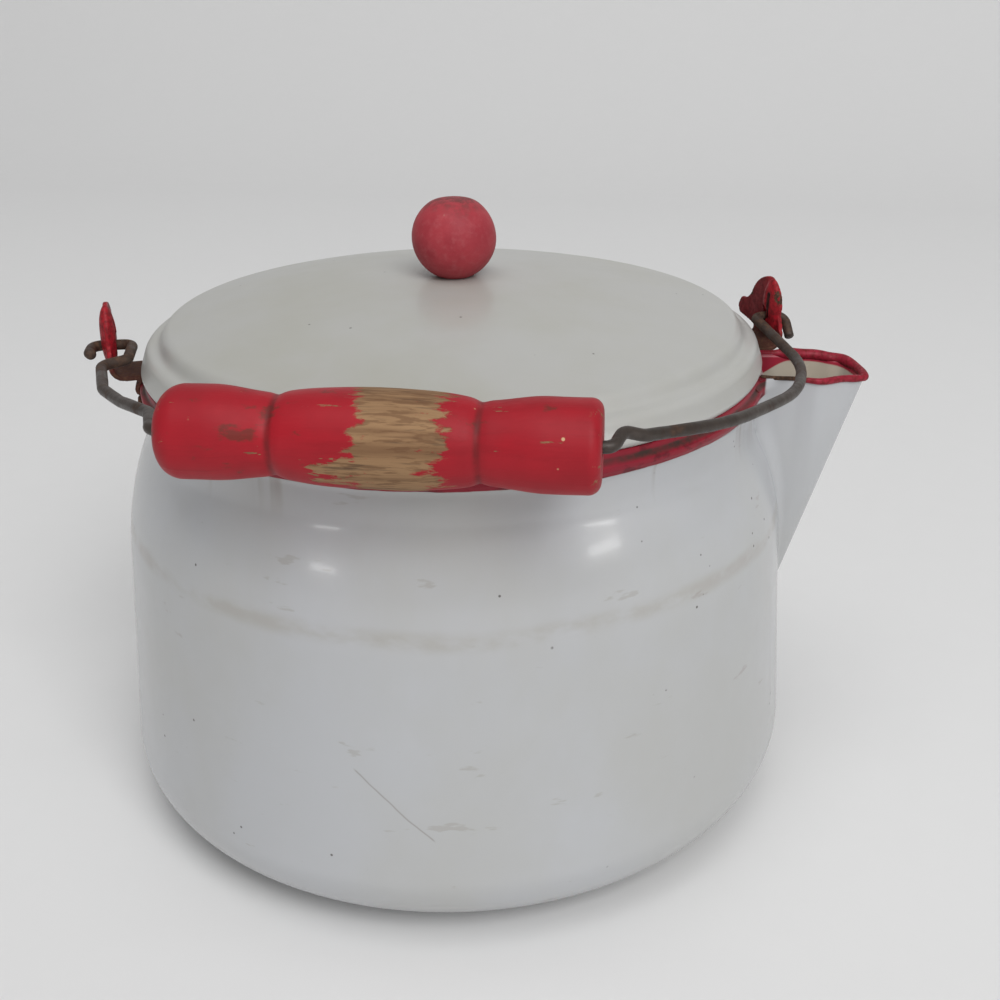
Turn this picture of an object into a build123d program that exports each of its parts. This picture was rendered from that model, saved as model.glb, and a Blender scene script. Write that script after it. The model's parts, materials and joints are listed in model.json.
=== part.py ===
from build123d import *
from math import atan2, cos, degrees, radians, sin, sqrt
import os

# Enamelled sheet-steel coffee pot with an open spout, a lift-off lid and a wire bail.
# Millimetres. Z is up, the base rests on Z = 0 at the pot's axis, the spout points along +X.
# The bail lies down on the -Y side, as it does when the pot stands on a table.

# Pot shell
sheet = 1.6                 # steel with enamel on both faces
base_radius = 85.6          # flat of the base
corner_height = 29.2        # base corner, from the table to the wall
rim_height = 168.0
neck_radius = 111.2
neck_length = 20.0          # from the cone up to the rim
neck_bend = 30.0
body_overhang = 16.3        # how far the wall's foot stands outside the neck
wall_slope = 0.0678         # how much the wall draws in for each unit of height
cone_slope = 0.4156         # the same on the shoulder's cone
shoulder_bend = 112.0
bead_drop = 5.4             # the swage's middle below the rim
bead_reach = 1.5
bead_half_height = 2.5
rim_inset = 0.4             # the rim is drawn in from the neck
rim_round = 0.72

# Strainer, punched through the wall behind the spout
strainer_hole = 5.0
strainer_rows = 5
strainer_low = 104.0
strainer_pitch = 11.0
strainer_narrowing = 0.72   # columns stand closer than rows

# Spout: an open trough whose outline shrinks from the lip to its foot
spout_sheet = 1.4
lip_below_rim = 0.6         # lip beside the rim
lip_drop = 3.4              # how much lower it is at the tip
spout_overhang = 37.8       # tip of the trough's outside, from the neck
spout_sunk = 6.8            # the outline starts this far inside the rim and is cut to the shell
spout_root_half = 13.8
spout_half = 18.2
spout_run = 25.0            # from the root to where the trough is widest
spout_foot_height = 80.0
spout_foot_sunk = 1.05      # the foot dies into the wall
spout_foot_half = 2.4
spout_overshoot = 0.06      # the walls are drawn past the lip and trimmed there
lip_roll = 1.7              # radius of the rolled lip

# Ears for the bail, bent from strip: a foot on the neck, a strap out from it and an upright blade
ear_azimuth = 15.0          # the ears stand this far round from the spout
front_ear_outside_lid = 8.6 # from the lid's edge to the blade's middle
back_ear_outside_lid = 10.2
ear_sheet = 1.8
ear_fit = 0.05              # between the foot and the neck
pivot_above_rim = 8.5
ear_tip = 15.4              # above the pivot
ear_near = 7.2              # half width on the grip's side
ear_far = 12.5              # the same on the other side, above the lobe
ear_far_height = 6.9        # above the pivot
ear_lobe = 21.0             # reach of the stop lobe
ear_lobe_top = 3.4          # above the pivot
ear_lobe_round = 2.2
ear_slot = 5.0              # the slot that the wire passes through
ear_slot_rise = 2.0         # between the middles of the slot's round ends
leaf_half_out = 2.9         # the blade swells to a leaf on the grip's side
leaf_half_along = 5.2
leaf_half_rise = 11.6
leaf_forward = 2.0          # the leaf's middle, from the pivot
leaf_above = 3.6
front_leaf_out = -0.4
back_leaf_out = 0.0
strap_below_rim = 0.6
ear_strap_half = 9.4
strap_root = 8.0            # the strap is drawn from inside the rim and cut to it
ear_bend = 3.4              # inside radius between strap and blade
ear_foot_length = 13.4      # below the strap
front_ear_turn = 13.0       # both blades are bent round a little
back_ear_turn = 4.0

# Rivets, two for each ear
rivet_radius = 1.3
rivet_head_radius = 2.3
rivet_head = 1.0
rivet_above_foot = 3.0
rivet_spread = 6.0          # each side of the ear's middle
rivet_cut = 12.0

# Bail wire
wire = 3.7
eye_clearance = 0.6         # between the wire and the lid as it is lifted past
back_eye_out = 5.8          # how far the turned eye stands outside the blade
front_eye_out = 6.0
eye_length = 9.0
eye_bend = 3.8
back_tip = (-0.8, 1.5)      # the back eye's end: in towards the blade, and forward
front_tip = (7.0, -6.0)     # the front eye's end from the pivot: forward, and up
tip_bend = 1.6
crossing = 19.0             # where the arm passes in front of the blade
arm_lean = 0.4
arm_rise = 0.3
arm_bend = 4.0
arm_out = (-0.2, 5.1, 0.1)  # next corner of the back arm: outside the blade, forward, up
arm_out_bend = 5.0

# Free corners of the arms: degrees round the pot, outside the lid, above the pivot, bend radius
back_arm = [(-141.96, 16.1, 0.7, 16), (-133.42, 17.1, 2.1, 24), (-123.25, 20.9, 5.7, 8)]
front_arm = [(-42.87, 21.3, 2.1, 80), (-22.69, 17.9, -2.3, 70), (-9.15, 14.1, -2.7, 55)]
# Corners beside the grip: along from its end, towards the pot, up, bend radius
left_lead = [(-3.5, 0, 0, 3.8)]
right_kink = [(2.8, 0, 0, 3.2), (5.4, 7.1, 2.0, 4.0), (11.2, 10.0, -0.2, 10.0)]

# Grip
grip_shift = -1.8           # its middle is a little left of the pot's axis
grip_outside_lid = 14.6     # from the lid's edge to the grip's axis
grip_above_pivot = 6.5
grip_length = 122.4
grip_end_radius = 13.3
grip_mid_radius = 14.0
grip_waist_radius = 11.6
grip_waist = 33.0           # from each end
grip_shoulder = 0.6         # share of that length that keeps the end's radius
grip_shoulder_drop = 0.25
grip_bore_clearance = 0.3
grip_left_round = 7.0
grip_right_round = 3.5

# Lid
lid_sheet = 1.4
seat_gap = 0.3              # between the rim and what rests on it
lid_overlap = 0.9           # how far the lid's foot stands outside the rim
lid_rise = 28.7             # from the lid's foot to its top
dome_inset = 10.7           # where the dome turns down, in from the lid's edge
dome_edge_rise = 14.9
dome_turn = (3.4, -1.1)     # the corner beyond the dome's edge: out and up
dome_edge_bend = 2.4
step_inset = 7.1
step_rise = 10.1
step_bend = 1.6
brim_inset = 2.2
brim_rise = 9.1
brim_round = 3.4
flange_sheet = 1.2
flange_clearance = 0.9      # between the flange and the rim's inside
flange_depth = 7.4
flange_ledge_gap = 0.4      # the brim's inside leans in over the flange's ledge

# Knob
knob_radius = 15.0
knob_flat = 6.0             # radius of its flat underside
screw_radius = 2.0
screw_length = 19.0
screw_point = 3.0
screw_tip = 0.4
screw_head_radius = 4.2
screw_head = 2.4
screw_slot = 1.0
washer_radius = 8.0
washer_sheet = 1.0
hole_clearance = 0.3
thread_fit = 0.02
washer_gap = 0.12           # the lid's underside is domed, the washer is flat

# Worked out from the sizes above
wall_foot_radius = neck_radius + body_overhang
corner_width = wall_foot_radius - base_radius
neck_height = rim_height - neck_length
cone_foot = neck_height * cone_slope - body_overhang - corner_height * wall_slope
cone_start_height = cone_foot / (cone_slope - wall_slope)
cone_start_radius = neck_radius + cone_slope * (neck_height - cone_start_height)
bead_height = rim_height - bead_drop
bead_low = bead_height - bead_half_height
bead_high = bead_height + bead_half_height
rim_radius = neck_radius - rim_inset
rim_inside = rim_radius - sheet
lip_height = rim_height - lip_below_rim
spout_root = rim_radius - spout_sunk
spout_reach = neck_radius + spout_overhang
spout_length = spout_reach - spout_root
spout_foot_wall = wall_foot_radius - wall_slope * (spout_foot_height - corner_height)
spout_foot_reach = spout_foot_wall - spout_foot_sunk
lid_radius = rim_radius + lid_overlap
lid_foot = rim_height + seat_gap
lid_top = lid_foot + lid_rise
dome_radius = lid_radius - dome_inset
dome_edge_height = lid_foot + dome_edge_rise
dome_drop = lid_top - dome_edge_height
dome_bulge = (dome_radius**2 + dome_drop**2) / (2 * dome_drop)
front_ear_radius = lid_radius + front_ear_outside_lid
back_ear_radius = lid_radius + back_ear_outside_lid
eye_radius = lid_radius + eye_clearance + wire / 2
pivot_height = rim_height + pivot_above_rim
ear_strap_top = rim_height - strap_below_rim
ear_foot_low = ear_strap_top - ear_foot_length
rivet_height = ear_foot_low + rivet_above_foot
screw_seat = lid_top - lid_sheet - washer_gap - washer_sheet
grip_centre = (grip_shift, -(lid_radius + grip_outside_lid), pivot_height + grip_above_pivot)
axis_dir = Vector(cos(radians(ear_azimuth)), sin(radians(ear_azimuth)), 0)
front_dir = Vector(sin(radians(ear_azimuth)), -cos(radians(ear_azimuth)), 0)
past_all = 2 * spout_reach  # cutters this large reach past the whole pot
arc_middle = 1 - sqrt(0.5)  # how far a quarter circle's middle stands from its corner's sides


def turned(outline):
    """Turn an outline drawn as (radius, height) about the pot's axis."""
    return revolve(Plane.XZ * make_face(outline), Axis.Z)


def bent(points, radii):
    """Straight runs through the points, with an arc of its own radius at each corner."""
    return FilletPolyline(*points, radius=radii)


# Pot shell
def shell_side(inset):
    """The side from the base corner to the neck, drawn in by inset."""
    corner = EllipticalCenterArc(
        (base_radius, corner_height),
        corner_width - inset,
        corner_height - inset,
        start_angle=-90,
        arc_size=90,
    )
    side = bent(
        [
            (wall_foot_radius - inset, corner_height),
            (cone_start_radius - inset, cone_start_height),
            (neck_radius - inset, neck_height),
            (neck_radius - inset, bead_low),
        ],
        [shoulder_bend - inset, neck_bend + inset],
    )
    return corner, side


def shell_outside():
    """Solid whose surface is the outside of the shell, up to the rim."""
    corner, side = shell_side(0)
    swage = (neck_radius + bead_reach, bead_height)
    edge = (rim_radius, bead_high)
    bead = ThreePointArc((neck_radius, bead_low), swage, edge)
    rim = Polyline(edge, (rim_radius, rim_height), (0, rim_height), (0, 0), (base_radius, 0))
    return turned(Curve() + [corner, side, bead, rim])


def shell_inside():
    """What the pot holds, filled to above the rim."""
    corner, side = shell_side(sheet)
    top = rim_height + sheet
    close = Polyline(
        (neck_radius - sheet, bead_low),
        (rim_inside, bead_low + sheet),
        (rim_inside, top),
        (0, top),
        (0, sheet),
        (base_radius, sheet),
    )
    return turned(Curve() + [corner, side, close])


def strainer():
    """Rows of holes that widen upwards, like the spout in front of them."""
    holes = Part()
    for row in range(strainer_rows):
        height = strainer_low + row * strainer_pitch
        for column in range(row + 1):
            across = (column - row / 2) * strainer_pitch * strainer_narrowing
            angle = degrees(across / neck_radius)
            hole = Cylinder(strainer_hole / 2, 2 * body_overhang)
            holes += Rot(0, 0, angle) * Pos(neck_radius, 0, height) * Rot(0, 90, 0) * hole
    return holes


def pot_body():
    body = shell_outside() - shell_inside()
    rim_edges = body.edges().group_by(Axis.Z)[-1]
    body = fillet(rim_edges, rim_round)
    holes = [round_to_ear(side) * hole for side in (1, -1) for hole in rivet_holes()]
    return body - strainer() - holes


# Spout
def spout_outline(level, inset):
    """Plan of the trough at a level from 0, its foot, to 1, its lip."""
    tip = spout_foot_reach + (spout_reach - spout_foot_reach) * level - inset
    half = spout_foot_half + (spout_half - spout_foot_half) * level - inset
    root = spout_foot_half + (spout_root_half - spout_foot_half) * level - inset
    span = tip - spout_root
    wide = spout_run / spout_length
    height = spout_foot_height + (lip_height - spout_foot_height) * level
    drop = lip_drop * level
    place = Plane(
        origin=(spout_root, 0, height),
        x_dir=(spout_length, 0, -drop),
        z_dir=(drop, 0, spout_length),
    )
    side = [
        (0, root),
        (span * wide, half),
        (span * 0.86, half * 0.72),
        (span * 0.97, half * 0.33),
        (span, 0),
    ]
    other = [(x, -y) for x, y in reversed(side[:-1])]
    curve = Spline(*side, *other, tangents=[(span * wide, half - root), (-span * wide, half - root)])
    return place, curve


def spout_solid(inset, low, high):
    faces = []
    for level in (low, high):
        place, curve = spout_outline(level, inset)
        back = Line(curve @ 1, curve @ 0)
        faces.append(place * make_face(Curve() + [curve, back]))
    return loft(faces, ruled=True)


def spout():
    above = spout_overshoot
    wall = spout_solid(0, 0, 1 + above) - spout_solid(spout_sheet, -above / 3, 1 + 2 * above)
    place, curve = spout_outline(1, 0)
    cover = place * Pos(0, 0, past_all / 2) * Box(past_all, past_all, past_all)
    path = place * curve
    start = Plane(origin=path @ 0, z_dir=path % 0)
    roll = sweep(start * Circle(lip_roll), path=path)
    keep_off = Pos(0, 0, rim_height) * Cylinder(lid_radius + seat_gap, 2 * lid_rise)
    return wall - cover + roll - shell_outside() - keep_off


# Ears
def ear_outline():
    """Blade in its own plane: X away from the grip, Y up, the pivot at the origin."""
    low = ear_strap_top + ear_bend - pivot_height
    shoulder = (-ear_near, ear_tip * 0.13)
    top = (0, ear_tip)
    far = (ear_far, ear_far_height)
    lobe_top = (ear_lobe - ear_lobe_round, ear_lobe_top)
    lobe_end = (ear_lobe - ear_lobe_round / 2, -ear_lobe_top)
    hollow = ((ear_far + ear_lobe) / 2 - ear_lobe_round, ear_lobe_top + ear_lobe_round / 2)
    return Curve() + [
        Line((-ear_strap_half, low), shoulder),
        ThreePointArc(shoulder, (-ear_near * 0.8, ear_tip * 0.72), top),
        ThreePointArc(top, (ear_far * 0.6, ear_tip * 0.84), far),
        ThreePointArc(far, hollow, lobe_top),
        ThreePointArc(lobe_top, (ear_lobe, 0), lobe_end),
        Polyline(lobe_end, (ear_strap_half, low), (-ear_strap_half, low)),
    ]


def ear_bent_strip(ear_radius):
    """The strap and its bend up into the blade, in the plane of radius and height."""
    bottom = ear_strap_top - ear_sheet
    inner = ear_radius - ear_sheet / 2
    outer = ear_radius + ear_sheet / 2
    start = rim_radius - strap_root
    top = ear_strap_top + ear_bend + ear_sheet
    lower = bent([(start, bottom), (outer, bottom), (outer, top)], [ear_bend + ear_sheet])
    upper = bent([(start, ear_strap_top), (inner, ear_strap_top), (inner, top)], [ear_bend])
    ends = [Line(lower @ 0, upper @ 0), Line(lower @ 1, upper @ 1)]
    strip = make_face(Curve() + [lower, upper, *ends])
    return extrude(Plane.XZ * strip, ear_strap_half, both=True)


def ear_foot():
    """The foot, which follows the neck and the bead."""

    def side(out):
        return [
            Line((neck_radius + out, ear_foot_low), (neck_radius + out, bead_low)),
            ThreePointArc(
                (neck_radius + out, bead_low),
                (neck_radius + bead_reach + out, bead_height),
                (rim_radius + out, bead_high),
            ),
            Line((rim_radius + out, bead_high), (rim_radius + out, ear_strap_top)),
        ]

    near = ear_fit
    far = ear_fit + ear_sheet
    ends = [
        Line((neck_radius + near, ear_foot_low), (neck_radius + far, ear_foot_low)),
        Line((rim_radius + near, ear_strap_top), (rim_radius + far, ear_strap_top)),
    ]
    ring = turned(Curve() + side(near) + side(far) + ends)
    middle = ear_foot_low + ear_foot_length / 2
    window = Pos(neck_radius, 0, middle) * Box(neck_radius, 2 * ear_strap_half, ear_foot_length)
    return ring & window


def rivet_places():
    """Where the rivets stand on the neck, each with its axis along local X."""
    angle = degrees(rivet_spread / neck_radius)
    return [Rot(0, 0, side * angle) * Pos(0, 0, rivet_height) * Rot(0, 90, 0) for side in (-1, 1)]


def rivet_holes():
    """Cutters for the rivets through the neck and the foot."""
    shank = Pos(0, 0, neck_radius) * Cylinder(rivet_radius + thread_fit, rivet_cut)
    return [place * shank for place in rivet_places()]


def round_to_ear(side):
    """Place of an ear: the front one on the spout's side, the back one across the pot."""
    return Rot(0, 0, ear_azimuth if side > 0 else ear_azimuth + 180)


def ear(turn, side, ear_radius, leaf_out):
    """One ear, with its blade turned about the upright line through the pivot."""
    upright = Plane(origin=(0, 0, 0), x_dir=(0, side, 0), z_dir=(side, 0, 0))
    outline = extrude(upright * make_face(ear_outline()), ear_sheet / 2, both=True)
    leaf = scale(Sphere(1), by=(leaf_half_out, leaf_half_along, leaf_half_rise))
    blade = outline + Pos(leaf_out, -side * leaf_forward, leaf_above) * leaf
    slot = Pos(0, ear_slot_rise / 2) * Rot(0, 0, 90) * SlotCenterToCenter(ear_slot_rise, ear_slot)
    about = Pos(ear_radius, 0, 0) * Rot(0, 0, turn) * Pos(-ear_radius, 0, 0)
    shaped = about * (ear_bent_strip(ear_radius) + Pos(ear_radius, 0, pivot_height) * blade)
    shaped -= Pos(ear_radius, 0, pivot_height) * extrude(upright * slot, ear_bend + ear_slot, both=True)
    shaped -= Pos(0, 0, ear_strap_top) * Cylinder(rim_radius + ear_fit, 2 * ear_foot_length)
    whole = shaped + ear_foot() - rivet_holes()
    return round_to_ear(side) * whole


def front_ear():
    return ear(front_ear_turn, 1, front_ear_radius, front_leaf_out)


def back_ear():
    return ear(back_ear_turn, -1, back_ear_radius, back_leaf_out)


def ear_rivets(side):
    """Both rivets of an ear, as two separate solids."""
    inside = neck_radius - sheet - 2 * thread_fit
    outside = neck_radius + ear_fit + ear_sheet + 2 * thread_fit
    length = outside - inside
    shank = Pos(0, 0, (inside + outside) / 2) * Cylinder(rivet_radius, length)
    outer = Pos(0, 0, outside + rivet_head / 2) * Cylinder(rivet_head_radius, rivet_head)
    outer = fillet(outer.edges().group_by(Axis.Z)[-1], rivet_head * 0.9)
    inner = Pos(0, 0, inside - rivet_head / 2) * Cylinder(rivet_head_radius, rivet_head)
    inner = fillet(inner.edges().group_by(Axis.Z)[0], rivet_head * 0.9)
    rivet = shank + outer + inner
    return Compound(children=[round_to_ear(side) * place * rivet for place in rivet_places()])


# Bail
def at_ear(side, away, forward, rise):
    """A point beside an ear: how far from the pot's axis, in front of and above the pivot."""
    return axis_dir * (side * away) + front_dir * forward + Vector(0, 0, pivot_height + rise)


def on_arm(angle, outside, rise):
    """A point of an arm: degrees round the pot, outside the lid, above the pivot."""
    away = lid_radius + outside
    turn = radians(angle)
    return Vector(away * cos(turn), away * sin(turn), pivot_height + rise)


def beside_grip(end, along, inwards, rise):
    """A point near an end of the grip, -1 or 1: along the grip's axis, towards the pot, up."""
    x, y, z = grip_centre
    return Vector(x + end * grip_length / 2 + along, y + inwards, z + rise)


def bail_route():
    """Corners of the wire from the back eye to the front one, each with its bend radius."""
    tip_in, tip_on = back_tip
    back_eye = back_ear_radius + back_eye_out
    front_eye = front_ear_radius + front_eye_out
    out, on, rise = arm_out
    route = [
        (at_ear(-1, back_eye + tip_in, eye_length + tip_on, 0), 0),
        (at_ear(-1, back_eye, eye_length, 0), tip_bend),
        (at_ear(-1, back_eye, 0, 0), eye_bend),
        (at_ear(-1, eye_radius, 0, 0), eye_bend),
        (at_ear(-1, eye_radius - arm_lean, crossing, arm_rise), arm_bend),
        (at_ear(-1, back_ear_radius + out, crossing + on, rise), arm_out_bend),
    ]
    route += [(on_arm(*corner[:3]), corner[3]) for corner in back_arm]
    route += [(beside_grip(-1, *corner[:3]), corner[3]) for corner in left_lead]
    route += [(beside_grip(1, *corner[:3]), corner[3]) for corner in right_kink]
    route += [(on_arm(*corner[:3]), corner[3]) for corner in front_arm]
    return route + [
        (at_ear(1, eye_radius, 0, 0), eye_bend),
        (at_ear(1, front_eye, 0, 0), eye_bend),
        (at_ear(1, front_eye, *front_tip), 0),
    ]


def bail_wire():
    route = bail_route()
    radii = [radius for _, radius in route[1:-1]]
    path = FilletPolyline(*[point for point, _ in route], radius=radii)
    start = Plane(origin=path @ 0, z_dir=path % 0)
    return sweep(start * Circle(wire / 2), path=path)


# Grip
def grip():
    half = grip_length / 2
    waist = half - grip_waist
    bore = wire / 2 + grip_bore_clearance
    left_face = grip_end_radius - grip_left_round
    right_face = grip_end_radius - grip_right_round
    outline = Curve() + [
        Polyline((-half, bore), (-half, left_face)),
        ThreePointArc(
            (-half, left_face),
            (-half + arc_middle * grip_left_round, grip_end_radius - arc_middle * grip_left_round),
            (-half + grip_left_round, grip_end_radius),
        ),
        ThreePointArc(
            (-half + grip_left_round, grip_end_radius),
            (-half + grip_shoulder * grip_waist, grip_end_radius - grip_shoulder_drop),
            (-waist, grip_waist_radius),
        ),
        ThreePointArc((-waist, grip_waist_radius), (0, grip_mid_radius), (waist, grip_waist_radius)),
        ThreePointArc(
            (waist, grip_waist_radius),
            (half - grip_shoulder * grip_waist, grip_end_radius - grip_shoulder_drop),
            (half - grip_right_round, grip_end_radius),
        ),
        ThreePointArc(
            (half - grip_right_round, grip_end_radius),
            (half - arc_middle * grip_right_round, grip_end_radius - arc_middle * grip_right_round),
            (half, right_face),
        ),
        Polyline((half, right_face), (half, bore), (-half, bore)),
    ]
    return Pos(*grip_centre) * revolve(make_face(outline), Axis.X)


# Lid
def lid_outline(inset):
    """The lid's outside from its middle to its foot, drawn in by inset."""
    tilt = atan2(dome_radius / 2, dome_bulge)
    middle = (dome_bulge * sin(tilt), lid_top - inset - dome_bulge * (1 - cos(tilt)))
    edge = (dome_radius, dome_edge_height - inset)
    dome = ThreePointArc((0, lid_top - inset), middle, edge)
    turn_out, turn_up = dome_turn
    side = bent(
        [
            edge,
            (dome_radius + turn_out - inset, dome_edge_height + turn_up - inset),
            (lid_radius - step_inset - inset, lid_foot + step_rise - inset),
            (lid_radius - brim_inset - inset, lid_foot + brim_rise - inset),
            (lid_radius - inset, lid_foot),
        ],
        [dome_edge_bend, step_bend + inset, brim_round - inset],
    )
    return dome, side


def lid():
    dome, side = lid_outline(0)
    inner_dome, inner_side = lid_outline(lid_sheet)
    foot = Line((lid_radius, lid_foot), (lid_radius - lid_sheet, lid_foot))
    middle = Line((0, lid_top), (0, lid_top - lid_sheet))
    body = turned(Curve() + [dome, side, foot, inner_side, inner_dome, middle])
    return body - Pos(0, 0, lid_top) * Cylinder(screw_radius + hole_clearance, lid_rise)


def lid_flange():
    outside = rim_inside - flange_clearance
    inside = outside - flange_sheet
    ledge = lid_radius - lid_sheet - flange_ledge_gap
    outline = Polyline(
        (inside, lid_foot + flange_sheet),
        (ledge, lid_foot + flange_sheet),
        (ledge, lid_foot),
        (outside, lid_foot),
        (outside, lid_foot - flange_depth),
        (inside, lid_foot - flange_depth),
        close=True,
    )
    return turned(outline)


# Knob
def knob():
    centre = lid_top + sqrt(knob_radius**2 - knob_flat**2)
    ball = Pos(0, 0, centre) * Sphere(knob_radius)
    ball -= Pos(0, 0, lid_top - knob_radius) * Box(*[2 * knob_radius] * 3)
    reach = screw_seat + screw_length + 2 * thread_fit - lid_top
    return ball - Pos(0, 0, lid_top) * Cylinder(screw_radius + thread_fit, 2 * reach)


def knob_washer():
    ring = Cylinder(washer_radius, washer_sheet) - Cylinder(screw_radius + hole_clearance, washer_sheet)
    return Pos(0, 0, screw_seat + washer_sheet / 2) * ring


def knob_screw():
    straight = screw_length - screw_point
    shank = Pos(0, 0, screw_seat + straight / 2) * Cylinder(screw_radius, straight)
    point = Pos(0, 0, screw_seat + straight + screw_point / 2) * Cone(screw_radius, screw_tip, screw_point)
    head = Pos(0, 0, screw_seat - screw_head / 2) * Cylinder(screw_head_radius, screw_head)
    head = fillet(head.edges().group_by(Axis.Z)[0], screw_head * 0.6)
    slot = Pos(0, 0, screw_seat - screw_head) * Box(3 * screw_head_radius, screw_slot, screw_head)
    return shank + point + head - slot


def make_nodes():
    return {
        "pot_body": pot_body(),
        "spout": spout(),
        "front_ear": front_ear(),
        "back_ear": back_ear(),
        "front_ear_rivets": ear_rivets(1),
        "back_ear_rivets": ear_rivets(-1),
        "bail_wire": bail_wire(),
        "grip": grip(),
        "lid": lid(),
        "lid_flange": lid_flange(),
        "knob": knob(),
        "knob_washer": knob_washer(),
        "knob_screw": knob_screw(),
    }


def main():
    os.makedirs("parts", exist_ok=True)
    for name, solid in make_nodes().items():
        export_step(solid, f"parts/{name}.step")
        print(name, len(solid.solids()), round(solid.volume, 1))


if __name__ == "__main__":
    main()
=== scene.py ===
import json
import bmesh
import bpy
import numpy as np
from mathutils import Matrix

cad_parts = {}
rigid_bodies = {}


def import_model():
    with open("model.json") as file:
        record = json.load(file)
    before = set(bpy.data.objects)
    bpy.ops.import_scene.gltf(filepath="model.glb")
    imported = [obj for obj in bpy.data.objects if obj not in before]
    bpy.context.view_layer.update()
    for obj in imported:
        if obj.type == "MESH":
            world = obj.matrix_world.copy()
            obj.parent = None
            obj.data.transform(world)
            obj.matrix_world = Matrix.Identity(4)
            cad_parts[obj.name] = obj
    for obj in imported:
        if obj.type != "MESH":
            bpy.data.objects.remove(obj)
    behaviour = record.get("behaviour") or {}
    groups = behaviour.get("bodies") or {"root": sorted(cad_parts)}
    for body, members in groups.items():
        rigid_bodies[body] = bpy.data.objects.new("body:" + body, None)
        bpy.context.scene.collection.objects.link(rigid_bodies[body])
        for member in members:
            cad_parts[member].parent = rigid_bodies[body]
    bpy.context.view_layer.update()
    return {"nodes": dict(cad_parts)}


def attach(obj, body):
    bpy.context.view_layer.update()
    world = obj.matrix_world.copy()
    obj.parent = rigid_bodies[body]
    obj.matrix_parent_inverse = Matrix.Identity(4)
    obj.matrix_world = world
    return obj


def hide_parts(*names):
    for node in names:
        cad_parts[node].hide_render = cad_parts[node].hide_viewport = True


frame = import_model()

mm = 0.001
print("frame loaded:", len(frame["nodes"]), "nodes")


# a grid of points (rows, columns, 3) as quads; columns or rows may close into a ring
def gridFaces(rows, columns, ringColumns, ringRows=False):
    i = np.arange(rows if ringRows else rows - 1)
    j = np.arange(columns if ringColumns else columns - 1)
    i, j = np.meshgrid(i, j, indexing="ij")
    nextI = (i + 1) % rows
    nextJ = (j + 1) % columns
    corners = [i * columns + j, i * columns + nextJ, nextI * columns + nextJ, nextI * columns + j]
    return np.stack(corners, -1).reshape(-1, 4)


# a fan of triangles from a centre to a closed ring of point numbers, turned over if asked
def fanFaces(centre, ring, over=False):
    after = np.roll(ring, -1)
    pair = [after, ring] if over else [ring, after]
    return np.stack([np.full(len(ring), centre), *pair], -1)


# rings of points as a closed tube: the grid, and fans to the two centres that follow the rings
def closedFaces(rows, sides):
    j = np.arange(sides)
    last = rows * sides
    return [gridFaces(rows, sides, True), fanFaces(last, j, True), fanFaces(last + 1, last - sides + j)]


def ringAngles(count):
    return np.linspace(0, 2 * np.pi, count, endpoint=False)


# a number for every point of a mesh
def addLayer(mesh, key, values):
    layer = mesh.attributes.new(key, "FLOAT", "POINT")
    layer.data.foreach_set("value", np.asarray(values, np.float32))


# one property of every point, corner or face, as an array
def readAll(items, key, kind=np.float32, width=1):
    values = np.empty(len(items) * width, kind)
    items.foreach_get(key, values)
    return values


# an object of the given data, in the scene
def addObject(name, data):
    thing = bpy.data.objects.new(name, data)
    bpy.context.scene.collection.objects.link(thing)
    return thing


# a bmesh operation worked into a mesh
def rework(mesh, operate):
    work = bmesh.new()
    work.from_mesh(mesh)
    operate(work)
    work.to_mesh(mesh)
    work.free()


# a mesh object from points and face arrays, smooth all over; a closed one is made to face outwards
def makePiece(name, points, faceSets, attributes=None, closed=True):
    mesh = bpy.data.meshes.new(name)
    loops = np.concatenate([faces.ravel() for faces in faceSets])
    sizes = np.concatenate([np.full(len(faces), faces.shape[1]) for faces in faceSets])
    starts = np.concatenate([[0], np.cumsum(sizes)[:-1]])
    points = np.asarray(points, np.float32).reshape(-1, 3)
    mesh.vertices.add(len(points))
    mesh.vertices.foreach_set("co", points.ravel())
    mesh.loops.add(len(loops))
    mesh.loops.foreach_set("vertex_index", loops.astype(np.int32))
    mesh.polygons.add(len(sizes))
    mesh.polygons.foreach_set("loop_start", starts.astype(np.int32))
    mesh.polygons.foreach_set("use_smooth", np.ones(len(sizes), bool))
    for key, values in (attributes or {}).items():
        addLayer(mesh, key, values)
    mesh.update()
    mesh.validate()
    if closed:
        rework(mesh, lambda work: bmesh.ops.recalc_face_normals(work, faces=work.faces))
    return addObject(name, mesh)


# modifiers worked into the mesh, which is then the piece's own
def bakeModifiers(piece):
    depsgraph = bpy.context.evaluated_depsgraph_get()
    mesh = bpy.data.meshes.new_from_object(piece.evaluated_get(depsgraph))
    piece.modifiers.clear()
    piece.data = mesh


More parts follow.
